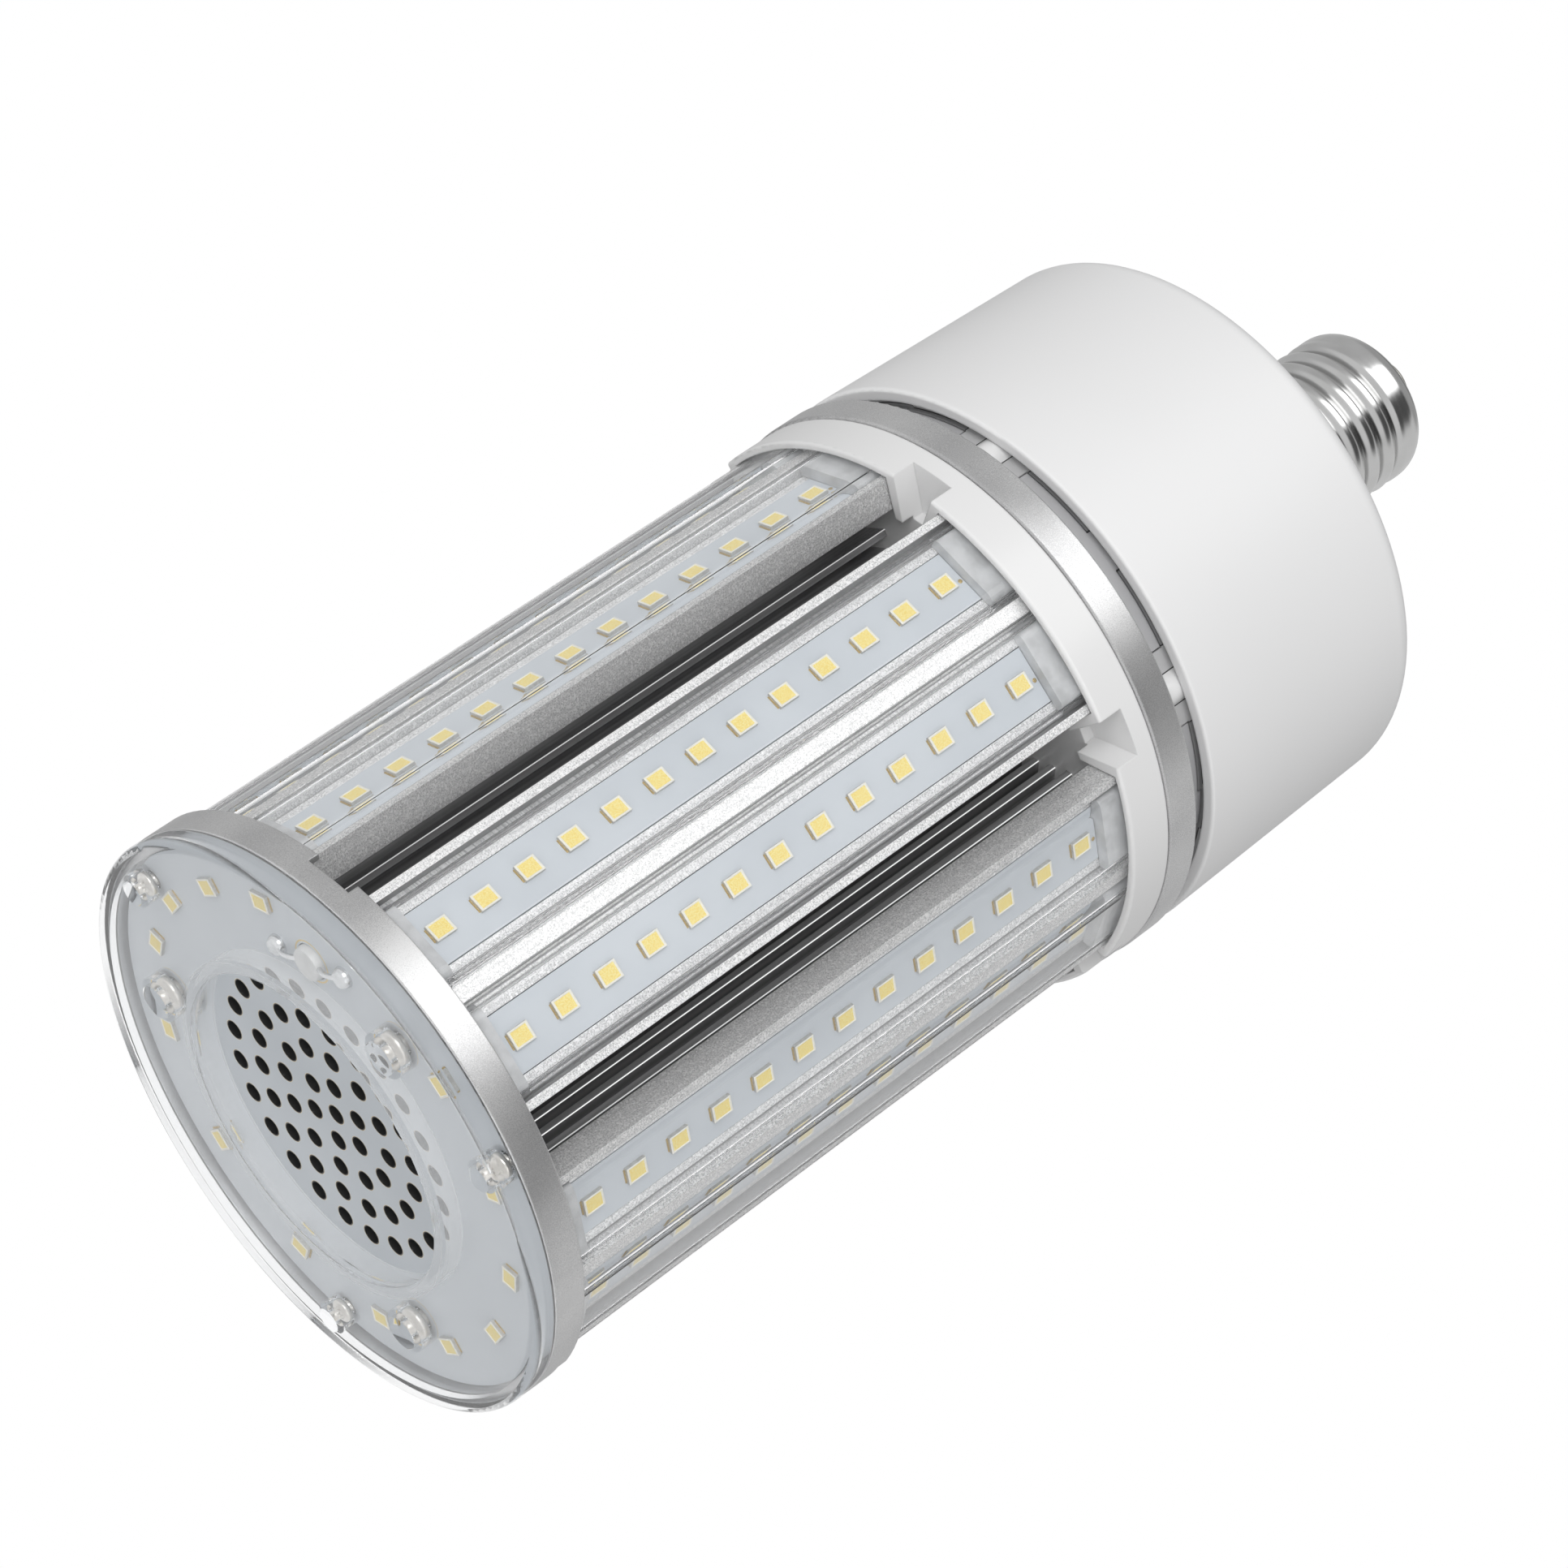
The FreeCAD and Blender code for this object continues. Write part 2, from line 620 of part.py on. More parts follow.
# A scoop narrows from the outside of the collar towards the slot
def scoop(bottom, top):
    spread = (SCOOP_MOUTH - SCOOP_THROAT) / SCOOP_DEPTH
    throat = BODY_RADIUS - SCOOP_DEPTH
    outside = BODY_RADIUS + SCOOP_OVERSHOOT
    outside_half = SCOOP_MOUTH + spread * SCOOP_OVERSHOOT
    side = [point(throat, SCOOP_THROAT), point(outside, outside_half)]
    return prism(side + mirrored(side), bottom, top)


def make_collar():
    skirt = tube(BODY_RADIUS, PLUG_INNER, COLLAR_FRONT, SINK_END)
    skirt = rounded_at(skirt, COLLAR_EDGE_ROUND, BODY_RADIUS, COLLAR_FRONT)
    plate = tube(BODY_RADIUS, LEAD_PASSAGE_RADIUS, SINK_END, PLATE_REAR)
    wall = tube(BODY_RADIUS, BODY_RADIUS - COLLAR_WALL, PLATE_REAR, COLLAR_REAR)
    wall = rounded_at(wall, COLLAR_EDGE_ROUND, BODY_RADIUS, COLLAR_REAR)
    pockets = [turned(pair_pocket(COLLAR_FRONT, SINK_END), angle) for angle in PAIR_ANGLES]
    scoops = [turned(scoop(COLLAR_FRONT, SINK_END + SCOOP_CUT), angle) for angle in SLOT_ANGLES]
    return skirt.cut(pockets).fuse([plate, wall]).cut(scoops).removeSplitter()


def make_trim_ring():
    ring = tube(TRIM_RADIUS, NECK_RADIUS + FIT, COLLAR_REAR, TRIM_REAR)
    ring = rounded_at(ring, TRIM_EDGE_ROUND, TRIM_RADIUS, COLLAR_REAR)
    return rounded_at(ring, TRIM_EDGE_ROUND, TRIM_RADIUS, TRIM_REAR)


def neck_tabs(clearance):
    top = TRIM_REAR + TAB_REACH
    inner = NECK_RADIUS - NECK_WALL - clearance
    outer = NECK_RADIUS + clearance
    spare = math.degrees(clearance / NECK_RADIUS)
    tabs = []
    for angle in PAIR_ANGLES:
        wide = sector(outer, inner, TRIM_REAR, top + clearance, TAB_HALF_ANGLE + spare, angle)
        bump_top = top + TAB_BUMP + clearance
        bump = sector(outer, inner, TRIM_REAR, bump_top, TAB_BUMP_HALF_ANGLE + spare, angle)
        tabs += [wide, bump]
    return tabs


# The neck base is screwed to the collar, and its six tabs reach into the housing lid
def make_neck_base():
    wall = tube(NECK_RADIUS, NECK_RADIUS - NECK_WALL, PLATE_REAR, TRIM_REAR)
    floor = tube(NECK_RADIUS, LEAD_PASSAGE_RADIUS, PLATE_REAR, PLATE_REAR + NECK_FLOOR)
    return wall.fuse([floor] + neck_tabs(0)).removeSplitter()


def make_housing_lid():
    front = TRIM_REAR + SEAM_GAP
    rim = tube(NECK_RADIUS, NECK_RADIUS - 2 * NECK_WALL, front, LID_FRONT)
    plate_radius = HOUSING_FRONT_RADIUS - HOUSING_WALL - FIT
    plate = tube(plate_radius, LEAD_PASSAGE_RADIUS, LID_FRONT, LID_REAR)
    places = [polar(PILLAR_CIRCLE, angle) for angle in SLOT_ANGLES]
    pillars = [disc(PILLAR_RADIUS, front, LID_FRONT, place) for place in places]
    return rim.fuse(pillars).cut(neck_tabs(SEAM_GAP)).fuse(plate).removeSplitter()


# Half section of the housing: a slightly tapered drum, a rounded shoulder, a low cone and a stem
def housing_solid(wall):
    side = HOUSING_REAR_RADIUS - wall
    rear = HOUSING_REAR - wall
    stem = HOUSING_STEM_RADIUS - wall
    bend = HOUSING_SHOULDER - wall
    front_edge = point(HOUSING_FRONT_RADIUS - wall, 0, HOUSING_FRONT)
    shoulder_start = point(side, 0, rear - bend)
    shoulder_end = point(side - bend, 0, rear)
    half_turn = bend * math.sqrt(0.5)
    shoulder_middle = point(side - bend + half_turn, 0, rear - bend + half_turn)
    stem_foot = point(stem, 0, STEM_START - wall)
    stem_top = point(stem, 0, STEM_END)
    axis_top = point(0, 0, STEM_END)
    axis_foot = point(0, 0, HOUSING_FRONT)
    edges = [
        Part.makeLine(axis_foot, front_edge),
        Part.makeLine(front_edge, shoulder_start),
        arc(shoulder_start, shoulder_middle, shoulder_end),
        Part.makeLine(shoulder_end, stem_foot),
        Part.makeLine(stem_foot, stem_top),
        Part.makeLine(stem_top, axis_top),
        Part.makeLine(axis_top, axis_foot),
    ]
    return revolved(edges)


def make_driver_housing():
    spigot_outer = SHELL_RADIUS - THREAD_DEPTH - SHELL_WALL - FIT
    spigot_inner = spigot_outer - HOUSING_WALL
    drum = rounded_at(housing_solid(0), HOUSING_EDGE_ROUND, HOUSING_FRONT_RADIUS, HOUSING_FRONT)
    shell = drum.cut(housing_solid(HOUSING_WALL))
    end_ring = tube(HOUSING_STEM_RADIUS, spigot_inner, STEM_END - HOUSING_WALL, STEM_END)
    spigot = tube(spigot_outer, spigot_inner, STEM_END, STEM_END + SPIGOT_LENGTH)
    return shell.fuse([end_ring, spigot]).removeSplitter()


# Half section of the screw shell, a rolled cap with a rounded end
def shell_solid(wall):
    root = SHELL_RADIUS - THREAD_DEPTH - wall
    crest = SHELL_RADIUS - wall
    bend = SHELL_SHOULDER - wall
    end = SHELL_END - wall
    half_turn = bend * math.sqrt(0.5)
    skirt = point(root, 0, STEM_END)
    swell = point(root, 0, SHOULDER_START - THREAD_PITCH / 2)
    land = point(crest, 0, SHOULDER_START)
    shoulder_start = point(crest, 0, end - bend)
    shoulder_middle = point(crest - bend + half_turn, 0, end - bend + half_turn)
    shoulder_end = point(crest - bend, 0, end)
    axis_top = point(0, 0, end)
    axis_foot = point(0, 0, STEM_END)
    edges = [
        Part.makeLine(axis_foot, skirt),
        Part.makeLine(skirt, swell),
        Part.makeLine(swell, land),
        Part.makeLine(land, shoulder_start),
        arc(shoulder_start, shoulder_middle, shoulder_end),
        Part.makeLine(shoulder_end, axis_top),
        Part.makeLine(axis_top, axis_foot),
    ]
    return revolved(edges)


# The knuckle thread is a round bead wound on the shell
def thread_bead():
    height = (THREAD_TURNS - 1) * THREAD_PITCH
    bead_centre = SHELL_RADIUS - BEAD_RADIUS
    path = Part.makeHelix(THREAD_PITCH, height, bead_centre)
    section = Part.Wire([Part.makeCircle(BEAD_RADIUS, point(bead_centre, 0), ACROSS)])
    bead = Part.Wire(path.Edges).makePipeShell([section], True, True)
    bead.translate(AXIS * (THREAD_START + THREAD_PITCH / 2))
    return bead


def make_screw_shell():
    hollow = shell_solid(SHELL_WALL)
    opening = disc(INSULATOR_RADIUS + FIT, SHELL_END - SHELL_SHOULDER, SHELL_END)
    return shell_solid(0).fuse(thread_bead()).cut([hollow, opening])


# The insulator is clamped by a flange inside the shell's end
def make_base_insulator():
    seat = SHELL_END - SHELL_WALL
    neck = disc(INSULATOR_RADIUS, seat, SHELL_END)
    flange = disc(INSULATOR_RADIUS + INSULATOR_FLANGE, seat - INSULATOR_FLANGE, seat)
    tip_radius = CONTACT_RADIUS + CONTACT_ROUND
    cone = Part.makeCone(INSULATOR_RADIUS, tip_radius, INSULATOR_HEIGHT, point(0, 0, SHELL_END))
    return neck.fuse([flange, cone]).removeSplitter()


def make_base_contact():
    top = CONTACT_START + CONTACT_HEIGHT
    button = disc(CONTACT_RADIUS, CONTACT_START, top)
    return rounded_at(button, CONTACT_ROUND, CONTACT_RADIUS, top)


def driver_place(shares, rise=DRIVER_OFFSET):
    across, along = shares
    return point(across * DRIVER_LENGTH, rise, DRIVER_START + along * DRIVER_LENGTH)


def make_driver_board():
    half = DRIVER_WIDTH / 2
    span_y = (DRIVER_OFFSET - DRIVER_THICK, DRIVER_OFFSET)
    return block((-half, half), span_y, (DRIVER_START, DRIVER_START + DRIVER_LENGTH))


# A ferrite frame round a wound bobbin
def make_driver_transformer():
    half = TRANSFORMER_SIZE / 2
    leg = TRANSFORMER_SIZE / 4
    place = driver_place(TRANSFORMER_PLACE)
    span_y = (place.y, place.y + TRANSFORMER_SIZE)
    span_z = (place.z, place.z + TRANSFORMER_SIZE)
    window_z = (place.z + leg, place.z + TRANSFORMER_SIZE - leg)
    frame = block((place.x - half, place.x + half), span_y, span_z)
    window = block((place.x - half + leg, place.x + half - leg), span_y, window_z)
    winding = disc(half - leg / 2, *window_z, point(place.x, place.y + half))
    return frame.cut(window).fuse(winding).removeSplitter()


def make_driver_capacitors():
    cans = []
    for shares in CAPACITOR_PLACES:
        can = Part.makeCylinder(CAPACITOR_RADIUS, CAPACITOR_LENGTH, driver_place(shares), ACROSS)
        cans.append(can)
    return Part.makeCompound(cans)


def make_driver_choke():
    place = driver_place(CHOKE_PLACE, DRIVER_OFFSET + CHOKE_TUBE)
    return Part.makeTorus(CHOKE_RADIUS, CHOKE_TUBE, place, ACROSS)


def make_driver_rectifier():
    half = RECTIFIER_SIZE / 2
    place = driver_place(RECTIFIER_PLACE)
    span_x = (place.x - half, place.x + half)
    span_y = (place.y, place.y + RECTIFIER_HEIGHT)
    return block(span_x, span_y, (place.z - half, place.z + half))


def make_lead_seal():
    place = polar(LEAD_HOLE_CIRCLE, LEAD_HOLE_ANGLE, BOARD_DEPTH)
    radius = LEAD_HOLE_RADIUS - FIT
    dome = Part.makeSphere(radius, place)
    slab = disc(radius, BOARD_DEPTH - SEAL_RISE, BOARD_DEPTH, place)
    plug = disc(radius, BOARD_DEPTH, BOARD_BACK, place)
    return dome.common(slab).fuse(plug).removeSplitter()


def single_parts():
    return {
        "end_cover": make_end_cover(),
        "end_screws": make_end_screws(),
        "end_board": make_end_board(),
        "end_board_leds": make_end_board_leds(),
        "solder_joints": make_solder_joints(),
        "lead_seal": make_lead_seal(),
        "dust_mesh": make_dust_mesh(),
        "end_frame": make_end_frame(),
        "strip_seals": make_strip_seals(),
        "collar": make_collar(),
        "trim_ring": make_trim_ring(),
        "neck_base": make_neck_base(),
        "housing_lid": make_housing_lid(),
        "driver_housing": make_driver_housing(),
        "screw_shell": make_screw_shell(),
        "base_insulator": make_base_insulator(),
        "base_contact": make_base_contact(),
        "driver_board": make_driver_board(),
        "driver_transformer": make_driver_transformer(),
        "driver_capacitors": make_driver_capacitors(),
        "driver_choke": make_driver_choke(),
        "driver_rectifier": make_driver_rectifier(),
    }


def repeated_parts():
    parts = {}
    heat_sink = make_heat_sink()
    strip_board = make_strip_board()
    strip_cover = make_strip_cover()
    leds = make_strip_leds()
    for number, angle in enumerate(PAIR_ANGLES, start=1):
        parts[f"heat_sink_{number}"] = turned(heat_sink, angle)
        turns = (angle - PANEL_TURN, angle + PANEL_TURN)
        pair_leds = [turned(led, turn) for turn in turns for led in leds]
        parts[f"pair_leds_{number}"] = Part.makeCompound(pair_leds)
    for number, angle in enumerate(STRIP_ANGLES, start=1):
        parts[f"strip_board_{number:02d}"] = turned(strip_board, angle)
        parts[f"strip_cover_{number:02d}"] = turned(strip_cover, angle)
    return parts


def main():
    os.makedirs("parts", exist_ok=True)
    parts = single_parts()
    parts.update(repeated_parts())
    for name, shape in parts.items():
        print(name, shape.isValid(), len(shape.Solids), round(shape.Volume, 1))
        shape.exportStep(f"parts/{name}.step")


main()
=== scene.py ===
import bmesh
import bpy
import json
import math
import numpy as np
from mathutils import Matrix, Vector


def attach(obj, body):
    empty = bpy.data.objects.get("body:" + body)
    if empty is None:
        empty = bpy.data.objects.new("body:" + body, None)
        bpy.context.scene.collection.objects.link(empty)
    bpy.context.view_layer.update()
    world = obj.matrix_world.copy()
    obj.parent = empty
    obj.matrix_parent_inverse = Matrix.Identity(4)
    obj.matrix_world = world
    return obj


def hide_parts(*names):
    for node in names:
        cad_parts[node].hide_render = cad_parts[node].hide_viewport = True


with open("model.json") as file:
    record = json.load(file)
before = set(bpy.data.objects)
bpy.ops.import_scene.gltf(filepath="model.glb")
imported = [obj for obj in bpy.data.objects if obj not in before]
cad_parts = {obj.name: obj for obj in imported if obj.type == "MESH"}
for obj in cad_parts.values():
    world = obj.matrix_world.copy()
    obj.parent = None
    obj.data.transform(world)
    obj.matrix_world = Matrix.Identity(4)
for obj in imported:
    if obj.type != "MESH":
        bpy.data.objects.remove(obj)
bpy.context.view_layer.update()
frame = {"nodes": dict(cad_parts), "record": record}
scene = bpy.context.scene
mm = 0.001
fullTurn = 2 * math.pi


# Short shader maths: a Wire holds one output socket, and each operator adds one Math node
class Wire:
    def __init__(self, finish, socket):
        self.finish = finish
        self.socket = socket

    def maths(self, operation, *others):
        return self.finish.node("ShaderNodeMath", {"operation": operation}, dict(enumerate((self,) + others)))

    def __add__(self, other):
        return self.maths("ADD", other)

    def __sub__(self, other):
        return self.maths("SUBTRACT", other)

    def __mul__(self, other):
        return self.maths("MULTIPLY", other)

    def __truediv__(self, other):
        return self.maths("DIVIDE", other)

    def __rsub__(self, other):
        return self.finish.node("ShaderNodeMath", {"operation": "SUBTRACT"}, {0: other, 1: self})

    __radd__ = __add__
    __rmul__ = __mul__

    # 0 below low, 1 above high, and a smooth step between them
    def step(self, low, high):
        values = {"Value": self, "From Min": low, "From Max": high}
        return self.finish.node("ShaderNodeMapRange", {"interpolation_type": "SMOOTHSTEP"}, values)


# One material, or the world, and the one method that adds any node to it
class Finish:
    def __init__(self, holder):
        holder.use_nodes = True
        self.holder = holder
        self.tree = holder.node_tree
        self.tree.nodes.clear()

    def node(self, kind, settings=None, values=None, output=0):
        made = self.tree.nodes.new(kind)
        for name, value in (settings or {}).items():
            if name == "stops":
                self.setStops(made.color_ramp, value)
            else:
                setattr(made, name, value)
        for name, value in (values or {}).items():
            if isinstance(value, Wire):
                self.tree.links.new(value.socket, made.inputs[name])
            else:
                made.inputs[name].default_value = value
        return Wire(self, made.outputs[output] if len(made.outputs) else None)

    def setStops(self, ramp, stops):
        ramp.elements.remove(ramp.elements[1])
        ramp.elements[0].position = stops[0][0]
        ramp.elements[0].color = (*[stops[0][1]] * 3, 1)
        for place, shade in stops[1:]:
            ramp.elements.new(place).color = (shade, shade, shade, 1)

    def place(self):
        return self.node("ShaderNodeTexCoord", output="Object")

    # The three parts of a vector, the place in the row's frame if none is given
    def axes(self, vector=None):
        made = self.node("ShaderNodeSeparateXYZ", values={0: vector or self.place()}).socket.node
        return [Wire(self, made.outputs[index]) for index in range(3)]

    # Polar place in the row's frame: mm from the axis, and radians from the nearest of some evenly spaced bearings
    def folded(self, count, firstDegrees):
        x, y = self.axes()[:2]
        radius = (x * x + y * y).maths("SQRT") * (1 / mm)
        half = math.pi / count
        return radius, (y.maths("ARCTAN2", x) - math.radians(firstDegrees)).maths("WRAP", half, -half)

    # Noise that is stretched along the axes with small scales
    def streaks(self, scale, detail=2.0):
        where = self.node("ShaderNodeMapping", values={"Vector": self.place(), "Scale": scale})
        return self.noise(1.0, detail, where)

    def noise(self, scale, detail=2.0, where=None, roughness=0.5):
        values = {"Vector": where or self.place(), "Scale": scale, "Detail": detail, "Roughness": roughness}
        return self.node("ShaderNodeTexNoise", values=values, output="Fac")

    def cells(self, scale):
        return self.node("ShaderNodeTexVoronoi", values={"Vector": self.place(), "Scale": scale}, output="Color")

    # The Mix node's sockets go by their numbers, because its colours share their names with other kinds
    def mixed(self, amount, first, second):
        values = {0: amount, 6: opaque(first), 7: opaque(second)}
        return self.node("ShaderNodeMix", {"data_type": "RGBA"}, values, 2)

    def bump(self, height, strength, distance, normal=None):
        values = {"Height": height, "Strength": strength, "Distance": distance}
        if normal:
            values["Normal"] = normal
        return self.node("ShaderNodeBump", values=values)

    # A faint radius on sharp edges, seen by the shader only
    def softNormal(self, radius):
        return self.node("ShaderNodeBevel", {"samples": 4}, {"Radius": radius})

    def surface(self, values):
        shader = self.node("ShaderNodeBsdfPrincipled", values=values)
        self.node("ShaderNodeOutputMaterial", values={"Surface": shader})
        return self.holder


def opaque(colour):
    return colour if isinstance(colour, Wire) else (*colour, 1)


def shaded(colour, share):
    return [channel * share for channel in colour]


def newFinish(name):
    return Finish(bpy.data.materials.new(name))


# X and Y of the place at a distance from the axis and a bearing
def spot(distance, degrees):
    return np.array([math.cos(math.radians(degrees)), math.sin(math.radians(degrees))]) * distance


# In the values below, a relief is the strength and the depth of a bump, and a contrast is the part of a noise's
# range over which one tone turns into the other
evenContrast = (0.3, 0.7)

silverValues = {
    "pale": (0.76, 0.76, 0.76), "dark": (0.54, 0.54, 0.545), "grain": 7000.0, "clouds": 60.0, "grainShare": 0.6,
    "contrast": (0.35, 0.65), "relief": (0.25, 0.05 * mm), "radius": 0.3 * mm,
    "metallic": 0.75, "roughness": 0.30, "roughSpread": 0.10,
}


# Silver paint: a fine grain over a satin metal
def silverFinish(name):
    v = silverValues
    finish = newFinish(name)
    grain = finish.noise(v["grain"])
    cloud = finish.noise(v["clouds"])
    tone = (grain * v["grainShare"] + cloud * (1 - v["grainShare"])).step(*v["contrast"])
    values = {"Base Color": finish.mixed(tone, v["dark"], v["pale"]), "Metallic": v["metallic"]}
    values["Roughness"] = v["roughness"] + v["roughSpread"] * cloud
    values["Normal"] = finish.bump(grain, *v["relief"], finish.softNormal(v["radius"]))
    return finish.surface(values)


plasticValues = {
    "fine": 2600.0, "detail": 3.0, "waves": 25.0, "wavesDetail": 1.0, "shade": 0.985, "depth": 0.04 * mm,
    "roughSpread": 0.08,
}


# Moulded plastic: a fine erosion texture and very slow waves in the wall
def plasticFinish(name, colour, roughness, radius, texture, sheen=0.5):
    v = plasticValues
    finish = newFinish(name)
    fine = finish.noise(v["fine"], v["detail"])
    tone = finish.noise(v["waves"], v["wavesDetail"]).step(*evenContrast)
    values = {"Base Color": finish.mixed(tone, shaded(colour, v["shade"]), colour), "Specular IOR Level": sheen}
    values["Roughness"] = roughness + v["roughSpread"] * (fine - 0.5)
    values["Normal"] = finish.bump(fine, texture, v["depth"], finish.softNormal(radius))
    return finish.surface(values)


sinkValues = {
    # mm from the axis: where the blasted wall turns into the smooth recess, and where painted shade starts darkening
    # the slot walls towards the axis
    "recess": (34.0, 40.5), "fade": (35.5, 43.5), "faded": 0.5,
    # Degrees from a pair's middle to its panels', then mm from a panel's middle to the slot wall and the grooves
    "panel": 12.0, "wall": (8.76, 8.83), "grooves": (6.2, 7.5), "line": (0.04, 0.12),
    # mm from a pair's middle to the divider's edge, and how much whiter its top is
    "divider": (0.95, 1.15), "whiter": 0.22,
    # The fins' corners, which get a painted glint that glows: first level, pitch and half thickness in mm, mm across
    # for each mm out, and the line's edge
    "finFirst": 31.4, "finPitch": 3.3, "finHalf": 0.55, "finSlope": 0.3153, "finEdge": (0.08, 0.16),
    "finBreaks": (0.30, 0.55), "glint": 0.85,
    # deep is painted shade for the lines at the grooves
    "pale": (0.97, 0.97, 0.97), "shade": (0.50, 0.505, 0.51), "deep": (0.36, 0.36, 0.365), "dark": (0.0, 0.0, 0.0),
    "wallPale": (0.93, 0.93, 0.93), "wallShade": (0.52, 0.52, 0.525), "smooth": (0.72, 0.72, 0.725),
    "grain": 5200.0, "grainDetail": 4.0, "grainRoughness": 0.8, "crystals": 3800.0, "brightest": (0.70, 0.80),
    "draw": (2400, 2400, 12), "drawShare": 0.12, "contrast": (0.40, 0.58), "streaks": (700, 700, 5), "streakShade": 0.6,
    "strength": 0.5, "least": 0.05, "dividerCalm": 0.25, "crystalHeight": 0.5, "depth": 0.07 * mm, "radius": 0.14 * mm,
    "metallic": 0.5, "wallMetallic": 0.1, "recessMetallic": 0.15,
    "roughness": 0.36, "grainRough": 0.22, "sparkGloss": 0.12, "recessGloss": 0.12,
}


# Sandblasted aluminium: bright crystals on a grey ground, a whiter divider, painted shade in dark lines at the grooves
# and on the slot walls towards the axis, and a smooth dark recess where the corners of the fins get a painted glint
# that glows
def sinkFinish(name):
    v = sinkValues
    finish = newFinish(name)
    radius, turn = finish.folded(stripValues["pairs"], 0.0)
    out, across = radius * turn.maths("COSINE"), (radius * turn.maths("SINE")).maths("ABSOLUTE")
    panel = math.radians(v["panel"])
    beyond = across * math.cos(panel) - out * math.sin(panel)
    wall = beyond.step(*v["wall"])
    # Painted shade: thin dark lines along the grooves, in the deep tone
    near, far = [(beyond.maths("ABSOLUTE") - place).maths("ABSOLUTE") for place in v["grooves"]]
    line = 1 - near.maths("MINIMUM", far).step(*v["line"])
    divider = 1 - across.step(*v["divider"])
    grain = finish.noise(v["grain"], v["grainDetail"], roughness=v["grainRoughness"])
    spark = finish.cells(v["crystals"]).step(*v["brightest"])
    speck = (grain * (1 - v["drawShare"]) + finish.streaks(v["draw"]) * v["drawShare"]).step(*v["contrast"])
    # Painted shade: the slot walls are painted half as bright towards the axis, and lose their bright crystals there
    inner, outer = [finish.mixed(speck, shaded(v["wallShade"], share), shaded(v["wallPale"], share))
                    for share in (v["faded"], 1.0)]
    unshadedWall = radius.step(*v["fade"])
    ground = finish.mixed(wall, finish.mixed(speck, v["shade"], v["pale"]), finish.mixed(unshadedWall, inner, outer))
    plain = finish.mixed(spark * (1 - wall * (1 - unshadedWall)), ground, v["pale"])
    blasted = finish.mixed(line, finish.mixed(divider * v["whiter"], plain, v["pale"]), v["deep"])
    depth = radius.step(*v["recess"])
    streaks = finish.streaks(v["streaks"])
    smooth = finish.mixed(streaks.step(*evenContrast), shaded(v["smooth"], v["streakShade"]), v["smooth"])
    # Painted glint: a pale line along each fin's corner in the recess, broken by the streaks
    fromFin = (out - v["finFirst"]).maths("WRAP", v["finPitch"] / 2, -v["finPitch"] / 2)
    fromTip = (out - fromFin) * v["finSlope"] - across
    corner = 1 - (v["finHalf"] - fromFin).maths("MAXIMUM", fromTip).maths("ABSOLUTE").step(*v["finEdge"])
    glint = corner * (1 - depth) * streaks.step(*v["finBreaks"])
    strength = v["strength"] * depth * (1 - v["dividerCalm"] * divider) + v["least"]
    values = {"Base Color": finish.mixed(depth, finish.mixed(glint, smooth, v["pale"]), blasted)}
    values["Metallic"] = v["metallic"] + v["wallMetallic"] * wall + v["recessMetallic"] * (1 - depth) * (1 - wall)
    rough = v["roughness"] + v["grainRough"] * grain * depth - v["sparkGloss"] * spark * depth
    values["Roughness"] = rough - v["recessGloss"] * (1 - depth)
    height = grain + spark * v["crystalHeight"]
    values["Normal"] = finish.bump(height, strength, v["depth"], finish.softNormal(v["radius"]))
    # The painted glint glows, though it is no lamp
    values["Emission Strength"] = v["glint"]
    values["Emission Color"] = finish.mixed(glint, v["dark"], v["pale"])
    return finish.surface(values)


lidValues = {
    "pillars": 6, "first": 30.0, "circle": 41.8, "pillar": (3.0, 3.08), "gap": (3.16, 3.24),   # degrees and mm
    "panel": (8.3, 8.5), "tongue": (23.8, 24.2), "endLine": (0.08, 0.16),   # degrees from the nearest pillar
    "seam": 43.62, "step": 0.45, "line": (0.06, 0.13), "edge": (-0.02, 0.02),   # mm
    # deep is painted shade on the panels below the seam; dark paints the seams and, as painted shade, the gap round
    # each pillar
    "deep": (0.33, 0.33, 0.335), "pale": (0.55, 0.55, 0.555), "bright": (0.86, 0.86, 0.86), "dark": (0.03, 0.03, 0.03),
    "relief": (0.08, 0.04 * mm), "radius": 0.25 * mm, "roughness": 0.42, "pillarGloss": 0.24, "roughSpread": 0.05,
}


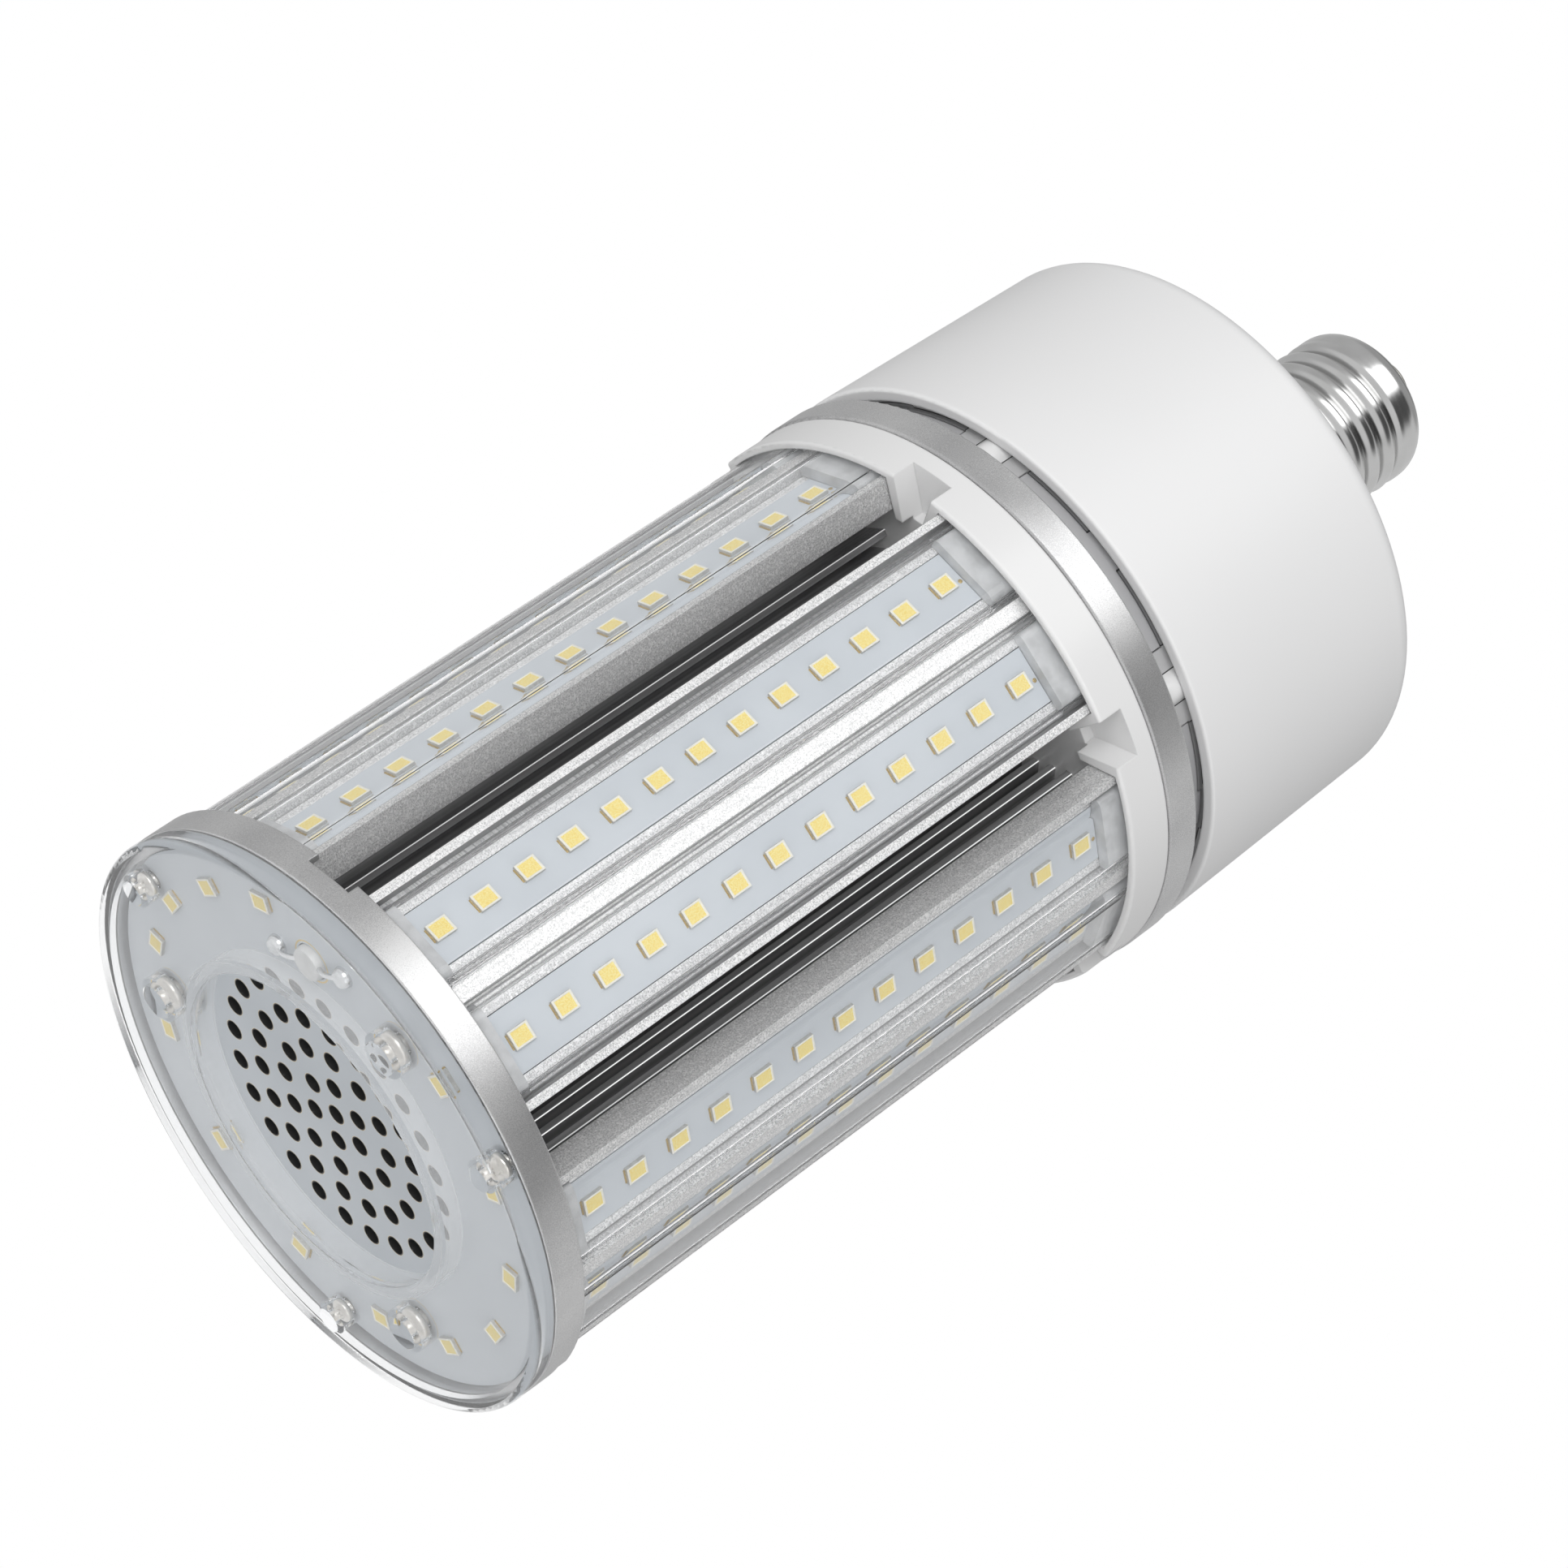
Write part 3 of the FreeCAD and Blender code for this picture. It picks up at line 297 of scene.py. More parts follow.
# Grey plastic of the housing's lid: six glossy white pillars with a gap round them painted dark as shade, and between
# them panels painted darker below the seam as shade, with a thin seam that steps outwards at a tongue in the middle
def lidFinish(name):
    v = lidValues
    finish = newFinish(name)
    radius, turn = finish.folded(v["pillars"], v["first"])
    beside, out = radius * turn.maths("SINE"), radius * turn.maths("COSINE") - v["circle"]
    away = (beside * beside + out * out).maths("SQRT")
    degrees = turn.maths("ABSOLUTE") * (360.0 / fullTurn)
    panel = degrees.step(*v["panel"])
    past = radius - degrees.step(*v["tongue"]) * v["step"] - v["seam"]
    within = 1 - past.step(*v["edge"])
    seam = panel * (1 - past.maths("ABSOLUTE").step(*v["line"]))
    end = (1 - (degrees - v["panel"][1]).maths("ABSOLUTE").step(*v["endLine"])) * within
    fine = finish.noise(plasticValues["fine"], plasticValues["detail"])
    # Painted shade: the panels below the seam are darker
    plain = finish.mixed(panel * within, v["pale"], v["deep"])
    lined = finish.mixed(seam.maths("MAXIMUM", end), plain, v["dark"])
    pillar = 1 - away.step(*v["pillar"])
    # Painted shade: a dark ring in the gap round each pillar
    values = {"Base Color": finish.mixed(pillar, finish.mixed(away.step(*v["gap"]), v["dark"], lined), v["bright"])}
    values["Roughness"] = v["roughness"] - v["pillarGloss"] * pillar + v["roughSpread"] * fine
    values["Normal"] = finish.bump(fine, *v["relief"], finish.softNormal(v["radius"]))
    return finish.surface(values)


maskValues = {
    "mask": (0.64, 0.68, 0.72), "deep": (0.58, 0.62, 0.66), "contrast": (0.25, 0.75), "cloudDetail": 3.0,
    "stripClouds": 55.0, "endClouds": 40.0, "stripRoughness": 0.32, "endRoughness": 0.30,
    "peel": 900.0, "relief": (0.12, 0.05 * mm), "roughSpread": 0.12,
}


# White solder mask: slow clouds of tone and a faint orange-peel gloss
def maskPaint(finish, clouds, roughness):
    v = maskValues
    peel = finish.noise(v["peel"])
    tone = finish.noise(clouds, v["cloudDetail"]).step(*v["contrast"])
    values = {"Base Color": finish.mixed(tone, v["deep"], v["mask"]), "Roughness": roughness + v["roughSpread"] * peel}
    return {**values, "Normal": finish.bump(peel, *v["relief"])}


def boardFinish(name):
    finish = newFinish(name)
    return finish.surface(maskPaint(finish, maskValues["stripClouds"], maskValues["stripRoughness"]))


endBoardValues = {
    # black is painted shade in the vents
    "gold": (0.72, 0.55, 0.22), "rim": (0.80, 0.66, 0.42), "black": (0.03, 0.03, 0.03), "metallic": 0.6,
    "holes": [(34.0, 0.0), (34.0, 120.0), (34.0, 240.0), (31.6, 88.0)],   # mm from the axis, and degrees
    "holeRing": 3.35, "holeEdge": (0.06, 0.192),
    # The vents: rings of six more each round the middle one
    "rings": 4, "more": 6, "first": 90.0, "pitch": 5.53, "vent": (1.60, 1.62), "outline": (1.66, 1.70),
}


# The end board also shows thin gold rings of bare copper round its screw holes and its lead hole, and its vents
# are painted black as shade inside a thin cream line
def endBoardFinish(name):
    v = endBoardValues
    finish = newFinish(name)
    x, y = finish.axes()[:2]
    gold = None
    for circle, degrees in v["holes"]:
        besideX, besideY = [axis - middle for axis, middle in zip((x, y), spot(circle, degrees) * mm)]
        away = (besideX * besideX + besideY * besideY).maths("SQRT") * (1 / mm)
        line = 1 - (away - v["holeRing"]).maths("ABSOLUTE").step(*v["holeEdge"])
        gold = gold.maths("MAXIMUM", line) if gold else line
    vent = finish.folded(1, 0.0)[0]
    for ring in range(1, v["rings"] + 1):
        circle = ring * v["pitch"]
        radius, turn = finish.folded(v["more"] * ring, v["first"])
        away = radius * radius - 2.0 * circle * radius * turn.maths("COSINE") + circle * circle
        vent = vent.maths("MINIMUM", away.maths("MAXIMUM", 0.0).maths("SQRT"))
    values = maskPaint(finish, maskValues["endClouds"], maskValues["endRoughness"])
    ringed = finish.mixed(gold, values["Base Color"], v["gold"])
    rimmed = finish.mixed(vent.step(*v["outline"]), v["rim"], ringed)
    # Painted shade: black within each vent's circle
    values["Base Color"] = finish.mixed(vent.step(*v["vent"]), v["black"], rimmed)
    return finish.surface({**values, "Metallic": gold * v["metallic"]})


coverClear = {
    "colour": (0.985, 0.99, 0.995), "roughness": 0.02, "bend": 1.30,
    "haze": (0.86, 0.87, 0.88), "scatter": 0.09, "milk": 0.26, "milkInside": 0.6,
    "well": 26.5, "wellWall": (1.15, 1.30), "wellEdge": (0.80, 0.95),   # mm
    "innerEdge": (0.32, 0.56), "outerEdge": (0.66, 0.92), "outerShare": 0.7,
    "waves": (120, 120, 120), "relief": (0.02, 0.2 * mm),
}
stripClear = {
    **coverClear, "roughness": 0.03, "bend": 1.40, "milk": 0.0, "waves": (500, 500, 6), "relief": (0.012, 0.2 * mm),
}


# Clear plastic: light bends in it, but goes straight on at glancing angles, where thick edges would look black, and
# a little is scattered there and in the moulded wall of the well. Light on its way from the lamps goes straight through
def clearFinish(name, v):
    finish = newFinish(name)
    bending = {"Base Color": opaque(v["colour"]), "Roughness": v["roughness"], "IOR": v["bend"]}
    bending["Transmission Weight"] = 1.0
    bending["Normal"] = finish.bump(finish.streaks(v["waves"], 1.0), *v["relief"])
    plastic = finish.node("ShaderNodeBsdfPrincipled", values=bending)
    openAir = finish.node("ShaderNodeBsdfTransparent")
    haze = finish.node("ShaderNodeBsdfDiffuse", values={"Color": opaque(v["haze"])})
    ray = finish.node("ShaderNodeLightPath").socket.node
    passed = Wire(finish, ray.outputs["Is Shadow Ray"]).maths("MAXIMUM", Wire(finish, ray.outputs["Is Diffuse Ray"]))
    glancing = finish.node("ShaderNodeLayerWeight", values={"Blend": 0.5}, output="Facing")
    within = finish.node("ShaderNodeNewGeometry", output="Backfacing")
    outer = glancing.step(*v["outerEdge"]) * v["outerShare"]
    straight = (within * glancing.step(*v["innerEdge"])).maths("MAXIMUM", outer)
    clear = finish.node("ShaderNodeMixShader", values={0: passed.maths("MAXIMUM", straight), 1: plastic, 2: openAir})
    fromWall = (finish.folded(1, 0.0)[0] - v["well"]).maths("ABSOLUTE")
    edge = v["milkInside"] + (1 - v["milkInside"]) * fromWall.step(*v["wellEdge"])
    milk = v["milk"] * (1 - fromWall.step(*v["wellWall"])) * edge
    amount = (v["scatter"] * glancing * glancing + milk) * (1 - passed)
    mixed = finish.node("ShaderNodeMixShader", values={0: amount, 1: clear, 2: haze})
    finish.node("ShaderNodeOutputMaterial", values={"Surface": mixed})
    return finish.holder


nickelValues = {
    "bright": (0.81, 0.81, 0.81), "clouded": (0.74, 0.74, 0.735), "dull": (0.40, 0.40, 0.395), "clouds": 180.0,
    "root": (12.28, 12.5), "marks": (40, 40, 3000), "marksDetail": 3.0, "relief": (0.06, 0.05 * mm),
    "roughness": 0.12, "roughSpread": 0.12,
}


# Bright nickel with soft draw marks round the shell, and painted shade making the root of its thread darker
def nickelFinish(name):
    v = nickelValues
    finish = newFinish(name)
    marks = finish.streaks(v["marks"], v["marksDetail"])
    bright = finish.mixed(finish.noise(v["clouds"]).step(*evenContrast), v["clouded"], v["bright"])
    # Painted shade: darker in the root of the thread
    values = {"Base Color": finish.mixed(finish.folded(1, 0.0)[0].step(*v["root"]), v["dull"], bright)}
    values["Metallic"] = 1.0
    values["Roughness"] = v["roughness"] + v["roughSpread"] * marks
    values["Normal"] = finish.bump(marks, *v["relief"])
    return finish.surface(values)


phosphorValues = {
    "deep": (0.90, 0.70, 0.19), "bright": (0.96, 0.83, 0.36), "specks": 5200.0, "relief": (0.2, 0.04 * mm),
    "roughness": 0.35, "roughSpread": 0.2,
}


# Yellow phosphor: a warm field with fine specks
def phosphorFinish(name):
    v = phosphorValues
    finish = newFinish(name)
    specks = finish.noise(v["specks"])
    values = {"Base Color": finish.mixed(specks.step(*evenContrast), v["deep"], v["bright"])}
    values["Roughness"] = v["roughness"] + v["roughSpread"] * specks
    values["Normal"] = finish.bump(specks, *v["relief"])
    return finish.surface(values)


# Plain materials: colour, roughness, metallic, the grain's scale and strength, and the spread of its tones
plainValues = {
    "screw_steel": ((0.80, 0.77, 0.72), 0.30, 0.7, 900.0, 0.1, 0.12),
    "led_frame": ((0.90, 0.88, 0.80), 0.42, 0.0, 2500.0, 0.1, 0.08),
    "led_side": ((0.62, 0.61, 0.58), 0.35, 0.5, 2500.0, 0.15, 0.2),
    "led_pad": ((0.62, 0.46, 0.20), 0.34, 0.6, 4000.0, 0.2, 0.2),
    "solder": ((0.72, 0.73, 0.74), 0.2, 1.0, 600.0, 0.25, 0.12),
    "silicone": ((0.78, 0.79, 0.79), 0.25, 0.0, 500.0, 0.2, 0.12),
    "end_silicone": ((0.63, 0.64, 0.65), 0.3, 0.0, 300.0, 0.2, 0.25),
    "mesh_wire": ((0.012, 0.012, 0.013), 0.6, 0.0, 3000.0, 0.3, 0.12),
    "base_insulation": ((0.03, 0.03, 0.035), 0.12, 0.0, 400.0, 0.1, 0.12),
    "contact_metal": ((0.72, 0.70, 0.64), 0.28, 1.0, 700.0, 0.2, 0.12),
    "driver_laminate": ((0.08, 0.20, 0.10), 0.4, 0.0, 900.0, 0.1, 0.12),
    "ferrite": ((0.035, 0.035, 0.04), 0.55, 0.0, 1800.0, 0.3, 0.12),
    "capacitor_sleeve": ((0.03, 0.035, 0.07), 0.25, 0.0, 500.0, 0.1, 0.12),
    "choke_wire": ((0.42, 0.16, 0.06), 0.3, 0.6, 2200.0, 0.4, 0.12),
}
grainValues = {"detail": 3.0, "depth": 0.05 * mm, "roughSpread": 0.1}


def plainFinish(slot, colour, roughness, metallic, scale, strength, spread):
    first, *others = slot.split("_")
    finish = newFinish(first + "".join(word.capitalize() for word in others))
    grain = finish.noise(scale, grainValues["detail"])
    values = {"Base Color": finish.mixed(grain.step(*evenContrast), shaded(colour, 1 - spread), colour)}
    values["Metallic"] = metallic
    values["Roughness"] = roughness + grainValues["roughSpread"] * (grain - 0.5)
    values["Normal"] = finish.bump(grain, strength, grainValues["depth"])
    return finish.surface(values)


# The strips on the heat sinks: degrees from a pair's middle, and mm from the axis and along it
stripValues = {"pairs": 6, "turn": 12.0, "boardTop": 42.4, "first": 15.0, "pitch": 8.0, "count": 13}

finishes = {
    **{slot: plainFinish(slot, *values) for slot, values in plainValues.items()},
    "clear_cover": clearFinish("clearCover", coverClear),
    "clear_strip": clearFinish("clearStrip", stripClear),
    "white_board": boardFinish("whiteBoard"),
    "end_white_board": endBoardFinish("endWhiteBoard"),
    "led_phosphor": phosphorFinish("ledPhosphor"),
    "silver_ring": silverFinish("silverRing"),
    "silver_trim": silverFinish("silverTrim"),
    "white_collar": plasticFinish("whiteCollar", (0.85, 0.85, 0.85), roughness=0.24, radius=0.35 * mm, texture=0.015),
    "grey_plastic": plasticFinish("greyPlastic", (0.50, 0.50, 0.51), roughness=0.42, radius=0.25 * mm, texture=0.12),
    "lid_plastic": lidFinish("lidPlastic"),
    "white_housing": plasticFinish(
        "whiteHousing", (0.87, 0.87, 0.872), roughness=0.45, radius=0.5 * mm, texture=0.06, sheen=0.4),
    "nickel_shell": nickelFinish("nickelShell"),
    "sandblasted_aluminium": sinkFinish("sandblastedAluminium"),
}
print("stage: finishes made")


for entry in frame["record"]["subparts"]:
    node = frame["nodes"][entry["node"]]
    node.data.materials.clear()
    node.data.materials.append(finishes[entry["material_slot"]])
for nodeName, finishName in (("end_board", "end_white_board"), ("housing_lid", "lid_plastic")):
    frame["nodes"][nodeName].data.materials[0] = finishes[finishName]
print("stage: solids painted")


samePlace = 2e-7   # metres


# Points that fall together, as at a pole, become one
def joinDoubles(mesh):
    work = bmesh.new()
    work.from_mesh(mesh)
    bmesh.ops.remove_doubles(work, verts=work.verts, dist=samePlace)
    work.to_mesh(mesh)
    work.free()


def newPiece(name, points, faces, finishNames, faceFinish=None, smooth=True, poles=False):
    mesh = bpy.data.meshes.new(name)
    mesh.from_pydata(points.reshape(-1, 3), [], faces.tolist())
    for finishName in finishNames:
        mesh.materials.append(finishes[finishName])
    if faceFinish is not None:
        mesh.polygons.foreach_set("material_index", faceFinish.astype(np.int32))
    mesh.polygons.foreach_set("use_smooth", np.full(len(mesh.polygons), smooth))
    if poles:
        joinDoubles(mesh)
    mesh.update()
    piece = bpy.data.objects.new(name, mesh)
    scene.collection.objects.link(piece)
    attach(piece, "root")
    return piece


# The turns of a ring's columns, as one row
def around(columns):
    return np.linspace(0, fullTurn, columns, endpoint=False)[None, :]


# Four-cornered faces of a grid of points whose columns close into a ring
def ringFaces(rows, columns):
    row = np.arange(rows - 1)[:, None] * np.ones((1, columns), int)
    column = np.ones((rows - 1, 1), int) * np.arange(columns)
    after = (column + 1) % columns
    corners = [row * columns + column, row * columns + after, (row + 1) * columns + after, (row + 1) * columns + column]
    return np.stack(corners, axis=-1).reshape(-1, 4)


# A box of eight points, four round one end and four round the other
boxFaces = np.array([(0, 1, 5, 4), (1, 2, 6, 5), (2, 3, 7, 6), (3, 0, 4, 7), (3, 2, 1, 0), (4, 5, 6, 7)])

ledValues = {
    "length": 3.5, "width": 2.8, "height": 0.7, "fieldLength": 2.9, "fieldWidth": 2.36, "bevel": 0.07, "recess": 0.08,
    "padWithin": 0.25, "padReach": 0.22, "padWidth": 2.3, "padFoot": 0.01, "padHeight": 0.12,
}
ledFinishes = ["led_frame", "led_phosphor", "led_pad", "led_side"]
frameKind, fieldKind, padKind, sideKind = range(len(ledFinishes))


# One LED, its middle at the origin, its length along Z and its light towards +X.
# Each ring is a rectangle at a height: foot, shoulder, top edge, window edge, window floor
def ledShape():
    v = ledValues
    halfLength, halfWidth = v["length"] / 2, v["width"] / 2
    rings = [
        (0.0, halfWidth, halfLength),
        (v["height"] - v["bevel"], halfWidth, halfLength),
        (v["height"], halfWidth - v["bevel"], halfLength - v["bevel"]),
        (v["height"], v["fieldWidth"] / 2, v["fieldLength"] / 2),
        (v["height"] - v["recess"], v["fieldWidth"] / 2 - v["recess"], v["fieldLength"] / 2 - v["recess"]),
    ]
    signs = [(1, -1), (1, 1), (-1, 1), (-1, -1)]
    points = [(out, side * across, end * along) for out, across, along in rings for side, end in signs]
    walls, last = ringFaces(len(rings), 4), len(points) - 4
    faces = [walls, [[last, last + 1, last + 2, last + 3], [3, 2, 1, 0]]]
    kind = [sideKind] * 4 + [frameKind] * (len(walls) - 4) + [fieldKind, frameKind]
    near, far, half = halfLength - v["padWithin"], halfLength + v["padReach"], v["padWidth"] / 2
    for end in (-1, 1):
        faces.append(boxFaces[:, ::end] + len(points))
        points += [(out, side * half, end * along) for out in (v["padFoot"], v["padHeight"])
                   for side, along in ((1, near), (1, far), (-1, far), (-1, near))]
        kind += [padKind] * len(boxFaces)
    return np.array(points) * mm, np.concatenate(faces), np.array(kind)


# The same shape placed many times: every copy is turned by its own three directions and moved to its place
def copies(shape, directions, places):
    points, faces, kind = shape
    moved = np.einsum("pk,nkj->npj", points, np.stack(directions, 1)) + places[:, None, :]
    shift = (np.arange(len(places)) * len(points))[:, None, None]
    return moved.reshape(-1, 3), (faces[None] + shift).reshape(-1, 4), np.tile(kind, len(places))


# The directions out from the axis, round it and along it, at each of some turns
def directionsAt(turn):
    zero, one = np.zeros_like(turn), np.ones_like(turn)
    parts = (np.cos(turn), np.sin(turn), zero), (-np.sin(turn), np.cos(turn), zero), (zero, zero, one)
    return [np.stack(part, 1) for part in parts]


def makePairLeds():
    levels = stripValues["first"] + stripValues["pitch"] * np.arange(stripValues["count"])
    for pair in range(stripValues["pairs"]):
        turns = np.radians(pair * 360.0 / stripValues["pairs"] + np.array([-1, 1]) * stripValues["turn"])
        turn, level = [part.ravel() for part in np.meshgrid(turns, levels, indexing="ij")]
        out, across, along = directionsAt(turn)
        places = (out * stripValues["boardTop"] + along * level[:, None]) * mm
        points, faces, kind = copies(ledShape(), (out, across, along), places)
        name = f"pairLeds{pair + 1}"
        piece = newPiece(name, points, faces, ledFinishes, kind, smooth=False)
        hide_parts(f"pair_leds_{pair + 1}")


endLedValues = {
    "circle": 37.7, "board": 4.8,   # mm
    "degrees": (12, 32, 52.5, 73, 132, 157.5, 182.5, 207, 231.5, 257.5, 285, 315, 344.5),
}


def makeEndLeds():
    radial, tangent, along = directionsAt(np.radians(np.array(endLedValues["degrees"])))
    places = (radial * endLedValues["circle"] + along * endLedValues["board"]) * mm
    points, faces, kind = copies(ledShape(), (-along, radial, tangent), places)
    piece = newPiece("endLeds", points, faces[:, ::-1], ledFinishes, kind, smooth=False)
    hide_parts("end_board_leds")


makePairLeds()
makeEndLeds()
print("stage: LEDs made")


shellValues = {
    "foot": 197.5, "threadStart": 200.1, "threadEnd": 218.25, "end": 223.55,
    "root": 12.3, "crest": 13.1, "pitch": 3.63, "sharpness": 0.8, "bend": 4.4, "opening": 7.55, "wall": 0.4,
    "fade": 2.4, "fadeIn": 0.8, "fadeOut": 2.2, "rows": 170, "bendRows": 12, "columns": 96,
}


# From 0 to 1 over the fade's length, by share * share * (3 - 2 * share)
def faded(past):
    share = np.clip(past / shellValues["fade"], 0, 1)
    return share * share * (3 - 2 * share)


# The screw shell's skin. Along the thread the radius is root + depth * wave, and the wave is a cosine of
# height / pitch - turn / 360, so its crest climbs one pitch a turn. The end is a quarter round and a flat ring
def makeShell():
    v = shellValues
    bendStart = v["end"] - v["bend"]
    level = np.linspace(v["foot"], bendStart, v["rows"])[:, None]
    turn = around(v["columns"])
    wave = 0.5 - 0.5 * np.cos(fullTurn * (level - v["threadStart"]) / v["pitch"] - turn)
    rise, settle = faded(level - v["threadStart"] + v["fadeIn"]), faded(level - v["threadEnd"] + v["fadeOut"])
    height = wave ** v["sharpness"] * rise * (1 - settle) + settle
    bendTurn = np.linspace(0, fullTurn / 4, v["bendRows"])[1:, None]
    every = np.ones_like(turn)
    threadRadius = v["root"] + (v["crest"] - v["root"]) * height
    bendRadius = v["crest"] - v["bend"] + v["bend"] * np.cos(bendTurn)
    radius = np.concatenate([threadRadius, bendRadius * every, v["opening"] * every])
    level = np.concatenate([level * every, (bendStart + v["bend"] * np.sin(bendTurn)) * every, v["end"] * every])
    points = np.stack([radius * np.cos(turn), radius * np.sin(turn), level], -1) * mm
    piece = newPiece("screwShellSkin", points, ringFaces(*radius.shape), ["nickel_shell"])
    wall = piece.modifiers.new("wall", "SOLIDIFY")
    wall.thickness = v["wall"] * mm
    wall.offset = -1
    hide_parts("screw_shell")


makeShell()
print("stage: screw shell made")


weaveValues = {
    "radius": 25.4, "margin": 0.3, "pitch": 0.62, "wireHalf": 0.09, "flatness": 0.7, "level": 6.10, "layer": 0.16,
}


# Dust mesh: two crossed layers of thin wires, each cut to the length of its chord. A wire is 2 * wireHalf wide and
# flatness times as high
def makeWeave():
    v = weaveValues
    count = int(v["radius"] / v["pitch"])
    offset = np.arange(-count, count + 1) * v["pitch"]
    offset = offset[np.abs(offset) < v["radius"] - v["margin"]][:, None, None]
    corner = np.array([(-1, -1), (1, -1), (1, 1), (-1, 1)]) * v["wireHalf"]
    every = np.ones((len(offset), 2, 4))
    along = np.sqrt(v["radius"] ** 2 - offset ** 2) * np.array([-1, 1])[:, None] * every
    across = (offset + corner[:, 0]) * every
    flat = (v["level"] + corner[:, 1] * v["flatness"]) * every
    lower = np.stack([across, along, flat], -1)[:, ::-1]
    upper = np.stack([along, across, flat + v["layer"]], -1)
    points = np.concatenate([lower, upper]) * mm
    faces = (boxFaces[None] + 8 * np.arange(len(points))[:, None, None]).reshape(-1, 4)
    piece = newPiece("dustWeave", points, faces, ["mesh_wire"], smooth=False)
    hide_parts("dust_mesh")


makeWeave()
print("stage: dust mesh made")


screwValues = {
    "inner": {"circle": 34.0, "degrees": (0.0, 120.0, 240.0), "head": 2.6, "height": 1.5, "shank": 1.3, "length": 12.0},
    "outer": {"circle": 41.9, "degrees": (30.0, 150.0, 270.0), "head": 1.9, "height": 1.2, "shank": 1.0, "length": 3.6},
    "seat": 3.9, "cross": 0.24, "crossReach": 0.62, "crossDepth": 0.6, "crossSlope": 0.1, "crossEnd": 0.12,
    "drop": 0.45, "power": 2.6, "pitch": 0.8, "thread": 0.14, "headRows": 21, "shankRows": 30, "columns": 48,
}


# One pan-head screw, head down. Head: a dome whose level is height * (1 - drop * reach ** power), sunk inside a cross
# of two crossed bars. Shank: a radius that waves with height / pitch - turn / 360, which is its thread
def screwPoints(v):
    s = screwValues
    turn = around(s["columns"])
    reach = np.linspace(0, 1, s["headRows"])[:, None]
    every = np.ones_like(turn)
    bar = np.minimum(np.abs(reach * np.cos(turn)), np.abs(reach * np.sin(turn)))
    inside = np.clip((s["cross"] - bar) / s["crossSlope"], 0, 1)
    inside = inside * np.clip((s["crossReach"] - reach) / s["crossEnd"], 0, 1)
    domeLevel = s["seat"] - v["height"] * (1 - s["drop"] * reach ** s["power"]) + inside * s["crossDepth"]
    shankLevel = s["seat"] + np.linspace(0, 1, s["shankRows"])[:, None] * v["length"]
    wave = 0.5 + 0.5 * np.cos(fullTurn * shankLevel / s["pitch"] - turn)
    radius = [reach * v["head"] * every, v["head"] * every, v["shank"] - s["thread"] * wave, 0 * every]
    level = [domeLevel, s["seat"] * every, shankLevel * every, (s["seat"] + v["length"]) * every]
    radius, level = np.concatenate(radius), np.concatenate(level)
    return np.stack([radius * np.cos(turn), radius * np.sin(turn), level], -1)


def makeScrews():
    allPoints, allFaces, start = [], [], 0
    for kind in ("inner", "outer"):
        v = screwValues[kind]
        for degrees in v["degrees"]:
            points = screwPoints(v)
            points[..., :2] += spot(v["circle"], degrees)
            allFaces.append(ringFaces(*points.shape[:2]) + start)
            allPoints.append(points.reshape(-1, 3))
            start += len(allPoints[-1])
    points, faces = np.concatenate(allPoints) * mm, np.concatenate(allFaces)
    piece = newPiece("coverScrews", points, faces, ["screw_steel"], poles=True)
    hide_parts("end_screws")


makeScrews()
print("stage: screws made")


# Places are mm from the axis and degrees
leadValues = {
    "start": (31.6, 88.0), "ends": [(34.5, 99.7), (30.7, 74.5)], "from": 2.0, "radius": 0.42, "level": 4.3,
    "rise": 0.7, "rows": 14, "columns": 10,
}


# Bare lead ends from the silicone to the solder: a tube along a straight way whose level dips by
# rise * sin(pi * share), closed by a row of no radius at each end
def makeLeadEnds():
    v = leadValues
    middle = spot(*v["start"])
    share = np.concatenate([[0.0], np.linspace(0, 1, v["rows"] - 2), [1.0]])[:, None]
    radius = np.concatenate([[0.0], np.full(v["rows"] - 2, v["radius"]), [0.0]])[:, None]
    turn = around(v["columns"])
    allPoints = []
    for circle, degrees in v["ends"]:
        end = spot(circle, degrees)
        way = (end - middle) / np.linalg.norm(end - middle)
        first = middle + way * v["from"]
        path = first + (end - first) * share
        reach = radius * np.cos(turn)
        level = v["level"] - v["rise"] * np.sin(np.pi * share) + radius * np.sin(turn)
        points = np.stack([path[:, :1] - way[1] * reach, path[:, 1:] + way[0] * reach, level], -1)
        allPoints.append(points.reshape(-1, 3))
    faces = ringFaces(v["rows"], v["columns"])
    faces = np.concatenate([faces, faces + v["rows"] * v["columns"]])
    newPiece("leadEnds", np.concatenate(allPoints) * mm, faces, ["solder"], poles=True)


dotValues = {
    "thick": 0.05, "level": 113.85, "across": 0.7, "radius": 0.34, "columns": 16,
    "reach": [0.0, 1.0, 1.0, 0.6, 0.0], "height": [0.0, 0.0, 1.0, 1.0, 0.8],   # shares of the radius and thickness
}


